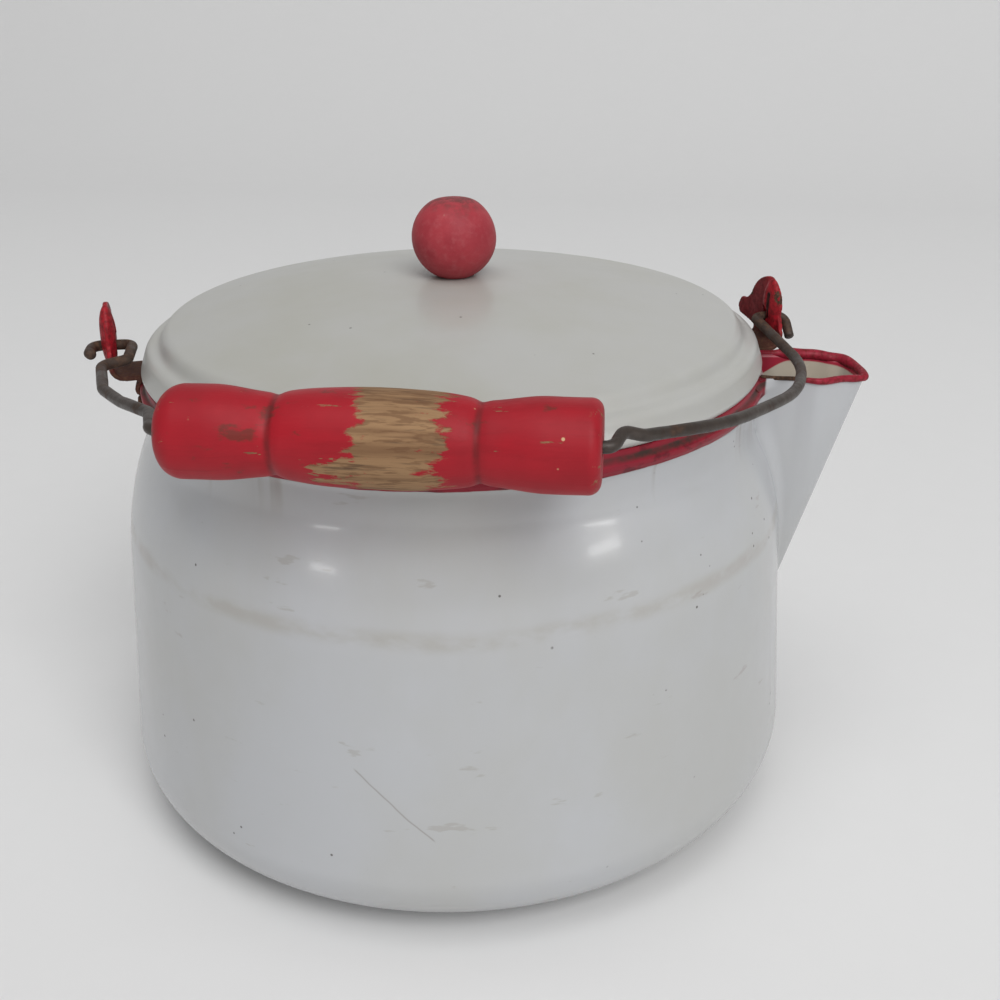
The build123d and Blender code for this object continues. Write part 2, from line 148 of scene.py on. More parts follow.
# straight runs through the corners, each corner rounded by an arc of its radius:
# the arc starts r * tan(turn / 2) before the corner and turns about the inner side
def roundedPath(corners, radii, step):
    corners = np.asarray(corners, float)
    path = [corners[:1]]
    for corner, before, after, radius in zip(corners[1:-1], corners[:-2], corners[2:], radii):
        u = (corner - before) / np.linalg.norm(corner - before)
        v = (after - corner) / np.linalg.norm(after - corner)
        turn = np.arccos(np.clip(u @ v, -1, 1))
        reach = radius * np.tan(turn / 2)
        side = v - u * (u @ v)
        side = side / np.linalg.norm(side)
        middle = corner - u * reach + side * radius
        count = max(int(np.ceil(radius * turn / step)), 3)
        angles = np.linspace(0, turn, count + 1)[:, None]
        path.append(middle + radius * (u * np.sin(angles) - side * np.cos(angles)))
    path.append(corners[-1:])
    path = np.concatenate(path)
    length = np.concatenate([[0], np.cumsum(np.linalg.norm(np.diff(path, axis=0), axis=1))])
    keep = np.concatenate([[True], np.diff(length) > 1e-9])
    path, length = path[keep], length[keep]
    # long straight runs get points in between, so that waviness shows on them too
    gaps = np.maximum(np.ceil(np.diff(length) / step).astype(int), 1)
    runs = zip(length, length[1:], gaps)
    at = np.concatenate([np.linspace(a, b, n, endpoint=False) for a, b, n in runs] + [length[-1:]])
    return np.stack([np.interp(at, length, path[:, k]) for k in range(path.shape[1])], -1)


# an arc of an ellipse about (x, y), from angle a to angle b in degrees
def ellipseArc(x, y, across, up, a, b, count):
    t = np.radians(np.linspace(a, b, count))
    return np.stack([x + across * np.cos(t), y + up * np.sin(t)], -1)


# a closed turned shell from a profile of (radius, height), its radius changed by a wobble of angle
# and height: a looped profile, or one whose ends on the axis become single poles
def turnedPiece(name, profile, steps, wobble=None, loop=False):
    angle = ringAngles(steps)
    radius, height = (np.repeat(column * mm, steps, 1) for column in (profile[:, :1], profile[:, 1:]))
    if wobble is not None:
        radius = radius + wobble(angle[None, :], height) * (radius > 1e-6)
    points = np.stack([radius * np.cos(angle), radius * np.sin(angle), height], -1)
    rows = len(profile)
    if loop:
        return makePiece(name, points, [gridFaces(rows, steps, True, True)])
    flat = np.concatenate([points[1:-1].reshape(-1, 3), points[:1, 0], points[-1:, 0]])
    return makePiece(name, flat, closedFaces(rows - 2, steps))


# Shader helpers

# a shader's socket, whose sums, differences and products are Math nodes
class shaderValue:
    def __init__(self, socket):
        self.socket = socket

    __add__ = lambda self, other: mathOf("ADD", self, other)
    __radd__ = lambda self, other: mathOf("ADD", other, self)
    __sub__ = lambda self, other: mathOf("SUBTRACT", self, other)
    __rsub__ = lambda self, other: mathOf("SUBTRACT", other, self)
    __mul__ = lambda self, other: mathOf("MULTIPLY", self, other)
    __abs__ = lambda self: mathOf("ABSOLUTE", self)


# shader values are linked to a node's inputs, anything else is set on them
def feed(node, inputs):
    for key, value in inputs.items():
        if isinstance(value, shaderValue):
            node.id_data.links.new(value.socket, node.inputs[key])
        else:
            node.inputs[key].default_value = value


# one output of a new node, in the tree given or else in that of its inputs
def put(kind, inputs, output=0, tree=None, **settings):
    if tree is None:
        tree = next(v.socket.id_data for v in inputs.values() if isinstance(v, shaderValue))
    node = tree.nodes.new("ShaderNode" + kind)
    for key, value in settings.items():
        setattr(node, key, value)
    feed(node, inputs)
    return shaderValue(node.outputs[output])


# a material, its Principled node and the coordinates of the piece itself
def newShader(name):
    material = bpy.data.materials.new(name)
    material.use_nodes = True
    tree = material.node_tree
    tree.nodes.clear()
    out = tree.nodes.new("ShaderNodeOutputMaterial")
    bsdf = tree.nodes.new("ShaderNodeBsdfPrincipled")
    tree.links.new(bsdf.outputs["BSDF"], out.inputs["Surface"])
    return material, bsdf, put("TexCoord", {}, "Object", tree)


def mathOf(operation, a, b=0.0, clamp=False):
    return put("Math", {0: a, 1: b}, operation=operation, use_clamp=clamp)


def moved(coords, scale=(1, 1, 1), place=(0, 0, 0)):
    return put("Mapping", {"Vector": coords, "Scale": scale, "Location": place})


# noise over coordinates that are stretched by a scale for each axis, or scaled by one number
def noiseOf(coords, scale, detail, roughness, place=(0, 0, 0), distortion=0.0):
    if isinstance(scale, tuple):
        coords, scale = moved(coords, scale, place), 1.0
    values = {"Vector": coords, "Scale": scale, "Detail": detail, "Roughness": roughness}
    return put("TexNoise", {**values, "Distortion": distortion}, "Fac")


# distance to the nearest of scattered points
def dotsOf(coords, scale):
    return put("TexVoronoi", {"Vector": coords, "Scale": scale}, "Distance", feature="F1")


def attributeOf(coords, key):
    return put("Attribute", {}, "Fac", coords.socket.id_data, attribute_name=key)


def rangeOf(value, low, high, toLow, toHigh, **settings):
    values = {"Value": value, "From Min": low, "From Max": high, "To Min": toLow, "To Max": toHigh}
    return put("MapRange", values, clamp=True, **settings)


# 0 below low, 1 above high, smooth between
def stepOf(value, low, high):
    return rangeOf(value, low, high, 0.0, 1.0, interpolation_type="SMOOTHSTEP")


# 1 below low, 0 above high, smooth between
def fadeOf(value, low, high):
    return 1 - stepOf(value, low, high)


# a and b are shader values or names of colours
def mixOf(factor, a, b):
    a, b = ((*colours[value], 1) if isinstance(value, str) else value for value in (a, b))
    return put("Mix", {0: factor, 6: a, 7: b}, 2, data_type="RGBA", blend_type="MIX")


def bumpOf(height, strength, distance, normal=None):
    values = {"Height": height, "Strength": strength, "Distance": distance}
    return put("Bump", values if normal is None else {**values, "Normal": normal})


def splitOf(coords):
    parts = put("SeparateXYZ", {"Vector": coords}).socket.node.outputs
    return [shaderValue(part) for part in parts]


def finishPiece(piece, body, slotName, *materials):
    piece.data.materials.clear()
    for material in materials:
        piece.data.materials.append(material)
    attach(piece, body)


# Enamelled pot body: base corner, wall, shoulder, neck with its bead, and the inside

pot = {
    "baseRadius": 85.6,  # mm, flat of the base
    "cornerHeight": 29.2,
    "wallFoot": 127.5,
    "wallTop": (121.05, 124.3),  # where the wall's line meets the shoulder's cone
    "neck": 110.7,
    "coneSlope": 0.4156,
    "shoulderBend": 112.0,
    "neckBend": 20.0,
    "beadLow": 159.4,
    "bead": 112.5,
    "beadFull": (162.3, 164.0),  # heights between which the bead stands out
    "beadBends": (5.0, 1.6, 0.8, 0.9),
    "crease": 165.3,
    "rim": 168.0,
    "rimRadius": 110.85,
    "rimBend": 0.75,
    "sheet": 1.6,
    "spacing": 1.6,  # mm between the profile's points
    "steps": 384,
    "waviness": 0.16,  # mm, out of round
}


# base corner, and the corners of wall and shoulder, for the sheet's outside or inside
def potProfile(inset):
    radius, height = pot["baseRadius"], pot["cornerHeight"]
    top = pot["wallTop"]
    neckHeight = top[1] + (top[0] - pot["neck"]) / pot["coneSlope"]
    corners = [
        (pot["wallFoot"] - inset, height),
        (top[0] - inset, top[1]),
        (pot["neck"] - inset, neckHeight),
    ]
    across = pot["wallFoot"] - radius - inset
    return ellipseArc(radius, height, across, height - inset, -90, 0, 26), corners


cornerOut, wallOut = potProfile(0)
cornerIn, wallIn = potProfile(pot["sheet"])
beadAndRim = [
    (pot["neck"], pot["beadLow"]),
    (pot["bead"], pot["beadFull"][0]),
    (pot["bead"] + 0.1, pot["beadFull"][1]),
    (pot["rimRadius"], pot["crease"]),
    (pot["rimRadius"], pot["rim"]),
    (pot["rimRadius"] - pot["sheet"], pot["rim"]),
]
potBends = [pot["shoulderBend"], pot["neckBend"], *pot["beadBends"], pot["rimBend"], pot["rimBend"]]
potBends += [pot["neckBend"] + 1, pot["shoulderBend"] - 2]
potSide = roundedPath(wallOut + beadAndRim + wallIn[::-1], potBends, pot["spacing"])
outerEnd = int(np.argmax(potSide[:, 1])) + 1
shellLine = np.concatenate([cornerOut[:-1], potSide[:outerEnd]])
baseRing = np.stack([np.linspace(0, pot["baseRadius"], 12), np.zeros(12)], -1)[:-1]
floorRing = np.stack([np.linspace(pot["baseRadius"], 0, 12), np.full(12, pot["sheet"])], -1)[1:]
potLine = np.concatenate([baseRing, cornerOut[:-1], potSide, cornerIn[::-1][1:], floorRing])


# outside radius of the pot at a height, in mm
def shellRadius(height):
    return np.interp(height, shellLine[:, 1], shellLine[:, 0])


# out of round, only inwards: two and five lobes, dying out towards the neck and the base corner
def potWobble(angle, height):
    fade = np.clip((135 * mm - height) / (30 * mm), 0, 1) * np.clip(height / (25 * mm), 0, 1)
    lobes = np.sin(2 * angle + 0.7) + 0.5 * np.sin(5 * angle - 1.1 + height / (60 * mm)) - 1.5
    return lobes * fade * pot["waviness"] * mm


potBody = turnedPiece("pot_shell", potLine, pot["steps"], potWobble)

# the strainer behind the spout: rows of punched holes, one more in each row upwards
strainer = {
    "hole": 5.0,
    "rows": 5,
    "low": 104.0,
    "pitch": 11.0,
    "narrowing": 0.72,
    "cut": (95, 135),  # mm from the axis, where the punches start and end
    "sides": 20,
}


def strainerCutters():
    sides = strainer["sides"]
    turn = ringAngles(sides)
    ring = np.stack([np.cos(turn), np.sin(turn)])[:, :, None] * strainer["hole"] / 2
    up = np.array([0, 0, 1])
    points, faces = [], []
    for row in range(strainer["rows"]):
        height = strainer["low"] + row * strainer["pitch"]
        for column in range(row + 1):
            across = (column - row / 2) * strainer["pitch"] * strainer["narrowing"]
            angle = across / pot["neck"]
            out = np.array([np.cos(angle), np.sin(angle), 0])
            side = np.array([-np.sin(angle), np.cos(angle), 0])
            rings = [out * r + side * ring[0] + up * ring[1] for r in strainer["cut"]]
            ends = [[out * r] for r in strainer["cut"]]
            start = sum(len(p) for p in points)
            points.append(np.concatenate(rings + ends) + [0, 0, height])
            faces += [part + start for part in closedFaces(2, sides)]
    return makePiece("strainer_cutters", np.concatenate(points) * mm, faces)


cutters = strainerCutters()
cut = potBody.modifiers.new("strainer", "BOOLEAN")
cut.operation = "DIFFERENCE"
cut.object = cutters
cut.solver = "EXACT"
bakeModifiers(potBody)
bpy.data.objects.remove(cutters)
print("pot body:", len(potBody.data.polygons), "faces")


# Spout: an open trough, blended into the shoulder by a fillet, with a rolled lip

trough = {
    "footHeight": 80.0,
    "lipHeight": 167.4,
    "lipDrop": 3.4,  # the tip is this much lower than the root
    "root": 104.0,
    "footReach": 123.0,
    "reach": 149.0,
    "footHalf": 2.4,
    "rootHalf": 13.0,
    "half": 18.2,
    "wide": 0.6,  # where along the trough it is widest
    "sheet": 1.4,
    "filletTop": 7.5,  # blend into the shoulder at the lip and at the foot
    "filletFoot": 2.0,
    "rows": 84,
    "lowest": 0.03,  # level where the search for a clear foot starts, and its step
    "search": 0.002,
    "clear": 0.15,
    "runOut": (3.0, 1.6, 0.7),  # along the shell, from the fillet
    "lipRadius": 1.75,
    "lipSink": 0.1,
    "lipStart": 111.6,  # from the axis
}


# a measure at a level, between its values at the foot and at the lip
def atLevel(foot, lip, level):
    return trough[foot] + (trough[lip] - trough[foot]) * level


# outline of the trough at a level, s from 0 at the root to 1 at the tip:
# the first half widens along an S curve, the rest is a quarter of an ellipse
def troughOutline(s, level):
    start = trough["root"]
    tip = atLevel("footReach", "reach", level)
    half = atLevel("footHalf", "half", level)
    root = atLevel("footHalf", "rootHalf", level)
    wideX = start + (tip - start) * trough["wide"]
    u = np.clip(s * 2, 0, 1)
    phi = np.clip(s * 2 - 1, 0, 1) * np.pi / 2
    x = start + (wideX - start) * u + (tip - wideX) * np.sin(phi)
    y = (root + (half - root) * u * u * (3 - 2 * u)) * np.cos(phi)
    return x, y


# 0 below low, 1 above high, smooth between
def easeOf(value, low, high):
    t = np.clip((value - low) / (high - low), 0, 1)
    return t * t * (3 - 2 * t)


# the spout was beaten askew: its near side runs almost straight to the tip, its far side is fuller
def askew(x, y, level):
    near = 0.30 * easeOf(x, 110, 125) + 0.34 * easeOf(x, 130, 143)
    far = 0.08 * easeOf(x, 124, 136) + 0.22 * easeOf(x, 137, 145)
    return y * (1 + level * np.where(y < 0, -near, far))


# outward normal of the outline, from the difference of two near points
def troughNormal(s, level):
    d = 1e-4
    x1, y1 = troughOutline(np.clip(s - d, 0, 1), level)
    x2, y2 = troughOutline(np.clip(s + d, 0, 1), level)
    length = np.hypot(x2 - x1, y2 - y1) + 1e-12
    return -(y2 - y1) / length, (x2 - x1) / length


def troughHeight(x, level):
    span = trough["reach"] - trough["root"]
    drop = trough["lipDrop"] * level * (x - trough["root"]) / span
    return atLevel("footHeight", "lipHeight", level) - drop


# the s at which a point pushed out by offset from the outline lies on the shell's radius plus extra
def meetShell(level, offset, extra):
    low, high = np.zeros_like(level), np.ones_like(level)
    for _ in range(40):
        middle = (low + high) / 2
        x, y = troughOutline(middle, level)
        nx, ny = troughNormal(middle, level)
        cx, cy = x + nx * offset, y + ny * offset
        goal = shellRadius(troughHeight(np.minimum(x, 118), level)) + extra
        beyond = np.hypot(cx, cy) > goal
        high = np.where(beyond, middle, high)
        low = np.where(beyond, low, middle)
    return high


# whole rows: a half row to the tip, and its mirror image back
def mirrored(x, y):
    return [np.concatenate([a[:, :-1], b[:, ::-1]], 1) for a, b in ((x, x), (y, -y))]


def makeSpout():
    # the trough starts at the lowest level whose tip stands clear of the shell
    low = trough["lowest"]
    footTip = trough["footReach"] + 1
    clear = trough["clear"]
    while atLevel("footReach", "reach", low) < shellRadius(troughHeight(footTip, low)) + clear:
        low += trough["search"]
    level = low + (1 - low) * np.linspace(0, 1, trough["rows"])[:, None] ** 1.25
    reach = atLevel("footReach", "reach", level)
    fillet = atLevel("filletFoot", "filletTop", level ** 1.5)
    fillet = np.minimum(fillet, 0.8 * (reach - shellRadius(troughHeight(reach, level))))
    fillet = np.maximum(fillet, 0.05)
    sOut = meetShell(level, fillet, fillet)
    sIn = meetShell(level, -trough["sheet"], -0.5)
    # outer half row: a run-out along the shell, the fillet's arc, then the outline to the tip
    x, y = troughOutline(sOut, level)
    nx, ny = troughNormal(sOut, level)
    cx, cy = x + nx * fillet, y + ny * fillet
    toAxis = np.arctan2(-cy, -cx)
    sweep = np.mod(np.arctan2(-ny, -nx) - toAxis + np.pi, 2 * np.pi) - np.pi
    turn = toAxis + sweep * np.linspace(0, 1, 11)
    arcX, arcY = cx + fillet * np.cos(turn), cy + fillet * np.sin(turn)
    away = np.array(trough["runOut"])
    radius = np.hypot(arcX[:, :1], arcY[:, :1])
    angle = np.arctan2(arcY[:, :1], arcX[:, :1]) + away / radius
    sunk = radius - 0.05 - 0.16 * away
    sideX, sideY = troughOutline(sOut + (1 - sOut) * np.linspace(0, 1, 41)[1:], level)
    halfX = np.concatenate([sunk * np.cos(angle), arcX, sideX], 1)
    halfY = np.concatenate([sunk * np.sin(angle), arcY, sideY], 1)
    # inner half row, as many points, from the back wall to the tip
    s = sIn + (1 - sIn) * np.linspace(0, 1, halfX.shape[1])
    inX, inY = troughOutline(s, level)
    nx, ny = troughNormal(s, level)
    outX, outY = mirrored(halfX, halfY)
    inX, inY = mirrored(inX - nx * trough["sheet"], np.maximum(inY - ny * trough["sheet"], 0))
    rows, count = outX.shape
    ringX = np.concatenate([outX, inX[:, ::-1]], 1)
    ringY = askew(ringX, np.concatenate([outY, inY[:, ::-1]], 1), level)
    points = np.stack([ringX, ringY, troughHeight(ringX, level)], -1) * mm
    # the foot and the lip are closed between the outer and the inner row
    i = np.arange(count - 1)
    strip = np.stack([i, i + 1, 2 * count - 2 - i, 2 * count - 1 - i], -1)
    faces = [gridFaces(rows, 2 * count, True), strip, strip[:, ::-1] + (rows - 1) * 2 * count]
    inside = np.tile(np.repeat([0, 1], count), rows)
    return makePiece("spout_shell", points, faces, {"inside": inside})


spoutShell = makeSpout()


tube = {"sides": 20, "dome": (0.2, 0.5, 0.8, 0.95)}     # radii of the rings of an end's dome


# the first and the last value again for every ring of the domes
def withDomes(values):
    rings = len(tube["dome"])
    return np.concatenate([values[:1].repeat(rings, 0), values, values[-1:].repeat(rings, 0)])


# a tube along a path: rings of the given radii square to it, closed by a dome at each end,
# with one number along it kept as an attribute
def makeTube(name, path, radius, key, values):
    tangent = np.gradient(path, axis=0)
    tangent /= np.linalg.norm(tangent, axis=1)[:, None]
    # a frame carried along without twist, one rotation after another
    side = np.cross(tangent[0], [0.13, 0.21, 0.97])
    side /= np.linalg.norm(side)
    carried = [side]
    for direction in tangent[1:]:
        side = side - direction * (side @ direction)
        side = side / np.linalg.norm(side)
        carried.append(side)
    side = np.array(carried)
    up = np.cross(tangent, side)
    dome = np.array(tube["dome"])
    back = np.sqrt(1 - dome ** 2)
    head = path[:1] - tangent[:1] * (back * radius[0] * 0.5)[:, None]
    tail = path[-1:] + tangent[-1:] * (back[::-1] * radius[-1] * 0.5)[:, None]
    path = np.concatenate([head, path, tail])
    radius = np.concatenate([dome * radius[0], radius, dome[::-1] * radius[-1]])
    rows, sides = len(path), tube["sides"]
    angle = ringAngles(sides)[None, :, None]
    ring = withDomes(side)[:, None] * np.cos(angle) + withDomes(up)[:, None] * np.sin(angle)
    points = path[:, None] + ring * radius[:, None, None]
    flat = np.concatenate([points.reshape(-1, 3), points[:1].mean(1), points[-1:].mean(1)])
    layer = np.append(withDomes(values).repeat(sides), [values[0], values[-1]])
    return makePiece(name, flat, closedFaces(rows, sides), {key: layer})


def makeLip():
    s = np.linspace(0, 1, 120)
    one = np.ones_like(s)
    x, y = troughOutline(s, one)
    nx, ny = troughNormal(s, one)
    start = int(np.argmax(np.hypot(x, y) > trough["lipStart"]))
    x, y = (x - trough["lipSink"] * nx)[start:], (y - trough["lipSink"] * ny)[start:]
    px = np.concatenate([x, x[-2::-1]])
    py = askew(px, np.concatenate([-y, y[-2::-1]]), 1.0)
    along = np.linspace(0, 1, len(px))
    # thin and bare by the near root, fat round the tip and along the far side, thin at its root
    size = 0.42 + 0.30 * easeOf(along, 0.12, 0.22) + 0.28 * easeOf(along, 0.40, 0.52)
    size = size + 0.26 * easeOf(along, 0.56, 0.66) - 0.56 * easeOf(along, 0.86, 0.95)
    size = size * (1 + 0.05 * np.sin(along * 23) + 0.04 * np.sin(along * 51 + 1))
    z = troughHeight(px, np.ones_like(px)) + 0.15 * np.sin(along * 9)
    path = np.stack([px, py, z], -1) * mm
    bare = 1 - easeOf(along, 0.12, 0.19)
    return makeTube("spout_lip", path, trough["lipRadius"] * size * mm, "bare", bare)


spoutLip = makeLip()
print("spout:", len(spoutShell.data.polygons), "faces")


# Lid: dome, step, rounded brim, and the locating band under it

cover = {
    "top": 197.0,
    "domeRadius": 101.0,
    "domeEdge": 183.3,
    "step": (104.9, 178.3),
    "brim": (109.3, 177.3),
    "foot": 168.3,
    "radius": 111.75,
    "sheet": 1.4,
    "screwHole": 2.3,
    "steps": 384,
    "bandOut": 108.3,
    "bandSheet": 1.2,
    "bandLow": 160.9,
    "bandSteps": 256,
}


# the dome is an arc through the top and the edge; the rest are straight runs with round corners
def coverLine(inset):
    rise = cover["top"] - cover["domeEdge"]
    bulge = (cover["domeRadius"] ** 2 + rise ** 2) / (2 * rise)
    first, last = np.arcsin(cover["screwHole"] / bulge), np.arcsin(cover["domeRadius"] / bulge)
    angle = np.linspace(first, last, 46)
    dome = np.stack([bulge * np.sin(angle), cover["top"] - inset - bulge * (1 - np.cos(angle))], -1)
    side = roundedPath(
        [
            dome[-2],
            (cover["domeRadius"] + 1.6 - inset * 0.6, cover["domeEdge"] - 0.4 - inset),
            (cover["step"][0] - inset * 0.8, cover["step"][1] - inset),
            (cover["brim"][0] - inset * 0.7, cover["brim"][1] - inset),
            (cover["radius"] - inset, cover["foot"] + 1.6),
            (cover["radius"] - 0.8 - inset * 0.3, cover["foot"]),
        ],
        [4.5, 3.2, 3.8 - inset, 1.4],
        0.7,
    )
    return np.concatenate([dome[:-2], side])


outLine, inLine = coverLine(0), coverLine(cover["sheet"])
lidLine = np.concatenate([outLine, inLine[::-1]])


# a faint spring in the sheet: the lid is not quite flat or round
def lidWobble(angle, height):
    return 0.06 * mm * np.sin(2 * angle + 1.0) + 0.04 * mm * np.sin(3 * angle) - 0.1 * mm


lidShell = turnedPiece("lid_shell", lidLine, cover["steps"], lidWobble, loop=True)
bandIn = cover["bandOut"] - cover["bandSheet"]
bandTop = cover["foot"] + cover["bandSheet"]
flangeOut = cover["radius"] - 1.9
bandLine = roundedPath(
    [
        (bandIn, cover["foot"] - 3),
        (bandIn, bandTop),
        (flangeOut, bandTop),
        (flangeOut, cover["foot"]),
        (cover["bandOut"], cover["foot"]),
        (cover["bandOut"], cover["bandLow"]),
        (bandIn, cover["bandLow"]),
        (bandIn, cover["foot"] - 3.2),
    ],
    [1.2, 0.4, 0.3, 0.8, 0.5, 0.5],
    0.8,
)
lidBand = turnedPiece("lid_band", bandLine, cover["bandSteps"], loop=True)
print("lid:", len(lidShell.data.polygons), "faces")


# Knob: a ball with a flat seat, a little out of true

ball = {
    "radius": 15.0,
    "flat": 6.0,
    "base": 197.0,
    "bore": 2.0,
    "depth": 16.0,
    "middle": 210.8,  # height its paint is measured from
    "steps": 128,
}


def makeKnob():
    middle = ball["base"] + np.sqrt(ball["radius"] ** 2 - ball["flat"] ** 2)
    start = -np.arccos(ball["flat"] / ball["radius"])
    angle = np.linspace(start, np.pi / 2, 70)
    outside = np.stack([ball["radius"] * np.cos(angle), middle + ball["radius"] * np.sin(angle)], -1)
    outside[-1, 0] = 0
    # the top is worn flat
    outside[:, 1] -= 0.9 * np.clip((outside[:, 1] - middle - 12) / 3, 0, 1) ** 2
    seat = [(0, ball["base"] + ball["depth"]), (ball["bore"], ball["base"] + ball["depth"])]
    seat += [(ball["bore"], ball["base"]), (ball["flat"] - 1, ball["base"])]
    return turnedPiece("knob_ball", np.concatenate([seat, outside]), ball["steps"], knobWobble)


def knobWobble(angle, height):
    return mm * (0.12 * np.sin(2 * angle) + 0.08 * np.sin(3 * angle + height / (4 * mm)))


knobBall = makeKnob()


# Grip: turned wood, two waists, a fuller middle, ends worn unequally round

handle = {
    "centre": (-1.8, -126.3, 183.0),
    "length": 122.4,
    "endRadius": 13.3,
    "waistRadius": 11.6,
    "middleRadius": 14.0,
    "waist": 33.0,  # from each end
    "leftRound": 7.0,
    "rightRound": 3.5,
    "bore": 2.2,
    "steps": 144,
}


# radius along the grip: smooth steps between the ends, the waists and the middle
def handleRadius(x):
    half = handle["length"] / 2
    u = np.abs(x)
    waistAt = half - handle["waist"]
    waist = handle["waistRadius"]
    middle = handle["middleRadius"]
    inner = middle + (waist - middle) * np.clip(u / waistAt, 0, 1) ** 2.6
    t = np.clip((u - waistAt) / (handle["waist"] * 0.55), 0, 1)
    outer = waist + (handle["endRadius"] - waist) * t * t * (3 - 2 * t)
    radius = np.where(u < waistAt, inner, outer)
    # short cove just past each waist, as the turner's gouge left it
    cove = np.exp(-((u - waistAt) / 1.9) ** 2) * 0.55
    return radius - cove


def makeGrip():
    half = handle["length"] / 2
    left, right = handle["leftRound"], handle["rightRound"]
    turnLeft = np.linspace(0, np.pi / 2, 16)
    turnRight = np.linspace(np.pi / 2, 0, 12)
    middle = np.linspace(-half + left, half - right, 190)
    xLeft = -half + left - left * np.cos(turnLeft) * 0.98
    rLeft = handleRadius(xLeft) - left * (1 - np.sin(turnLeft)) * 0.9
    xRight = half - right + right * np.cos(turnRight)
    rRight = handleRadius(xRight) - right * (1 - np.sin(turnRight))
    faceLeft = np.linspace(handle["bore"] + 0.9, rLeft[0] - 0.4, 8)
    faceRight = np.linspace(rRight[-1] - 0.4, handle["bore"] + 0.9, 8)
    middle = middle[1:-1]
    boreX = np.linspace(half - 1.2, xLeft[0] + 1.2, 12)
    x = np.concatenate([np.full(8, xLeft[0]), xLeft, middle, xRight, np.full(8, half), boreX])
    radius = np.concatenate([
        faceLeft, rLeft, handleRadius(middle), rRight, faceRight, np.full(12, handle["bore"]),
    ])
    steps = handle["steps"]
    angle = ringAngles(steps)[None, :]
    x, radius = x[:, None], radius[:, None]
    spread = 1 + 0.006 * np.sin(2 * angle + 0.4) + 0.004 * np.sin(3 * angle + x / 17)
    # small dents and flats from years of handling
    dents = 0.10 * np.sin(x / 5.1 + 3 * np.cos(angle)) * np.sin(2 * angle + x / 11)
    r = radius * spread + dents * (radius > handle["bore"] + 1)
    points = np.stack([
        x + 0 * r + handle["centre"][0],
        r * np.cos(angle) + handle["centre"][1],
        r * np.sin(angle) + handle["centre"][2],
    ], -1) * mm
    return makePiece("wood_grip", points, [gridFaces(len(x), steps, True, True)])


woodGrip = makeGrip()
print("grip:", len(woodGrip.data.polygons), "faces")


# Bail wire: the same route as the solid's, corner by corner, with a hand-bent waviness

bail = {
    "azimuth": 15.0,
    "lidRadius": 111.7,
    "pivot": 176.5,
    "radius": 1.85,
    "eye": 114.15,  # the wire's inner runs, from the pot's axis
    "backEye": 127.7,  # the turned eyes outside the blades
    "frontEye": 126.3,
    "eyeLength": 9.0,
    "bend": 3.8,
    "crossing": 19.0,
    "backArm": [(-141.96, 16.1, 0.7, 16), (-133.42, 17.1, 2.1, 24), (-123.25, 20.9, 5.7, 8)],
    "frontArm": [(-42.87, 21.3, 2.1, 80), (-22.69, 17.9, -2.3, 70), (-9.15, 14.1, -2.7, 55)],
    "leftLead": [(-3.5, 0, 0, 3.8)],
    "rightKink": [(2.8, 0, 0, 3.2), (5.4, 7.1, 2.0, 4.0), (11.2, 10.0, -0.2, 10.0)],
    "waviness": 0.10,
}
turnAngle = np.radians(bail["azimuth"])
outward = np.array([np.cos(turnAngle), np.sin(turnAngle), 0])
forward = np.array([np.sin(turnAngle), -np.cos(turnAngle), 0])


# a point beside an ear: away from the pot's axis, forward towards the grip, above the pivot
def besideEar(side, away, ahead, rise):
    return outward * side * away + forward * ahead + np.array([0, 0, bail["pivot"] + rise])


# a corner of an arm: degrees round the pot, outside the lid, above the pivot
def onArm(angle, outside, rise):
    away = bail["lidRadius"] + outside
    turn = np.radians(angle)
    return np.array([away * np.cos(turn), away * np.sin(turn), bail["pivot"] + rise])


def besideGrip(end, along, inwards, rise):
    x, y, z = handle["centre"]
    return np.array([x + end * handle["length"] / 2 + along, y + inwards, z + rise])


def wireRoute():
    route = [
        (besideEar(-1, bail["backEye"] - 0.8, bail["eyeLength"] + 1.5, 0), 0),
        (besideEar(-1, bail["backEye"], bail["eyeLength"], 0), 1.6),
        (besideEar(-1, bail["backEye"], 0, 0), bail["bend"]),
        (besideEar(-1, bail["eye"], 0, 0), bail["bend"]),
        (besideEar(-1, bail["eye"] - 0.4, bail["crossing"], 0.3), 4.0),
        (besideEar(-1, bail["backEye"] - 6.0, bail["crossing"] + 5.1, 0.1), 5.0),
    ]
    route += [(onArm(*place), bend) for *place, bend in bail["backArm"]]
    route += [(besideGrip(-1, *place), bend) for *place, bend in bail["leftLead"]]
    route += [(besideGrip(1, *place), bend) for *place, bend in bail["rightKink"]]
    route += [(onArm(*place), bend) for *place, bend in bail["frontArm"]]
    return route + [
        (besideEar(1, bail["eye"], 0, 0), bail["bend"]),
        (besideEar(1, bail["frontEye"], 0, 0), bail["bend"]),
        (besideEar(1, bail["frontEye"], 7.0, -6.0), 0),
    ]


def makeWire():
    route = wireRoute()
    path = roundedPath([point for point, _ in route], [radius for _, radius in route[1:-1]], 0.8)
    along = np.concatenate([[0], np.cumsum(np.linalg.norm(np.diff(path, axis=0), axis=1))])
    # hand-bent waviness, none in the grip's bore or beside the ears
    ends = np.minimum(along, along[-1] - along)
    free = np.clip((ends - 60) / 20, 0, 1)
    free = free * (np.abs(path[:, 1] - handle["centre"][1]) > 3)
    path[:, 2] += bail["waviness"] * free * np.sin(along / 7.0)
    path[:, 0] += bail["waviness"] * free * np.sin(along / 9.5 + 1)
    size = bail["radius"] * (1 + 0.012 * np.sin(along / 3.1) + 0.01 * np.sin(along / 1.7))
    return makeTube("wire", path * mm, np.minimum(size, bail["radius"] * 1.01) * mm, "fromEnd", ends)


wire = makeWire()
print("bail wire:", len(wire.data.polygons), "faces")


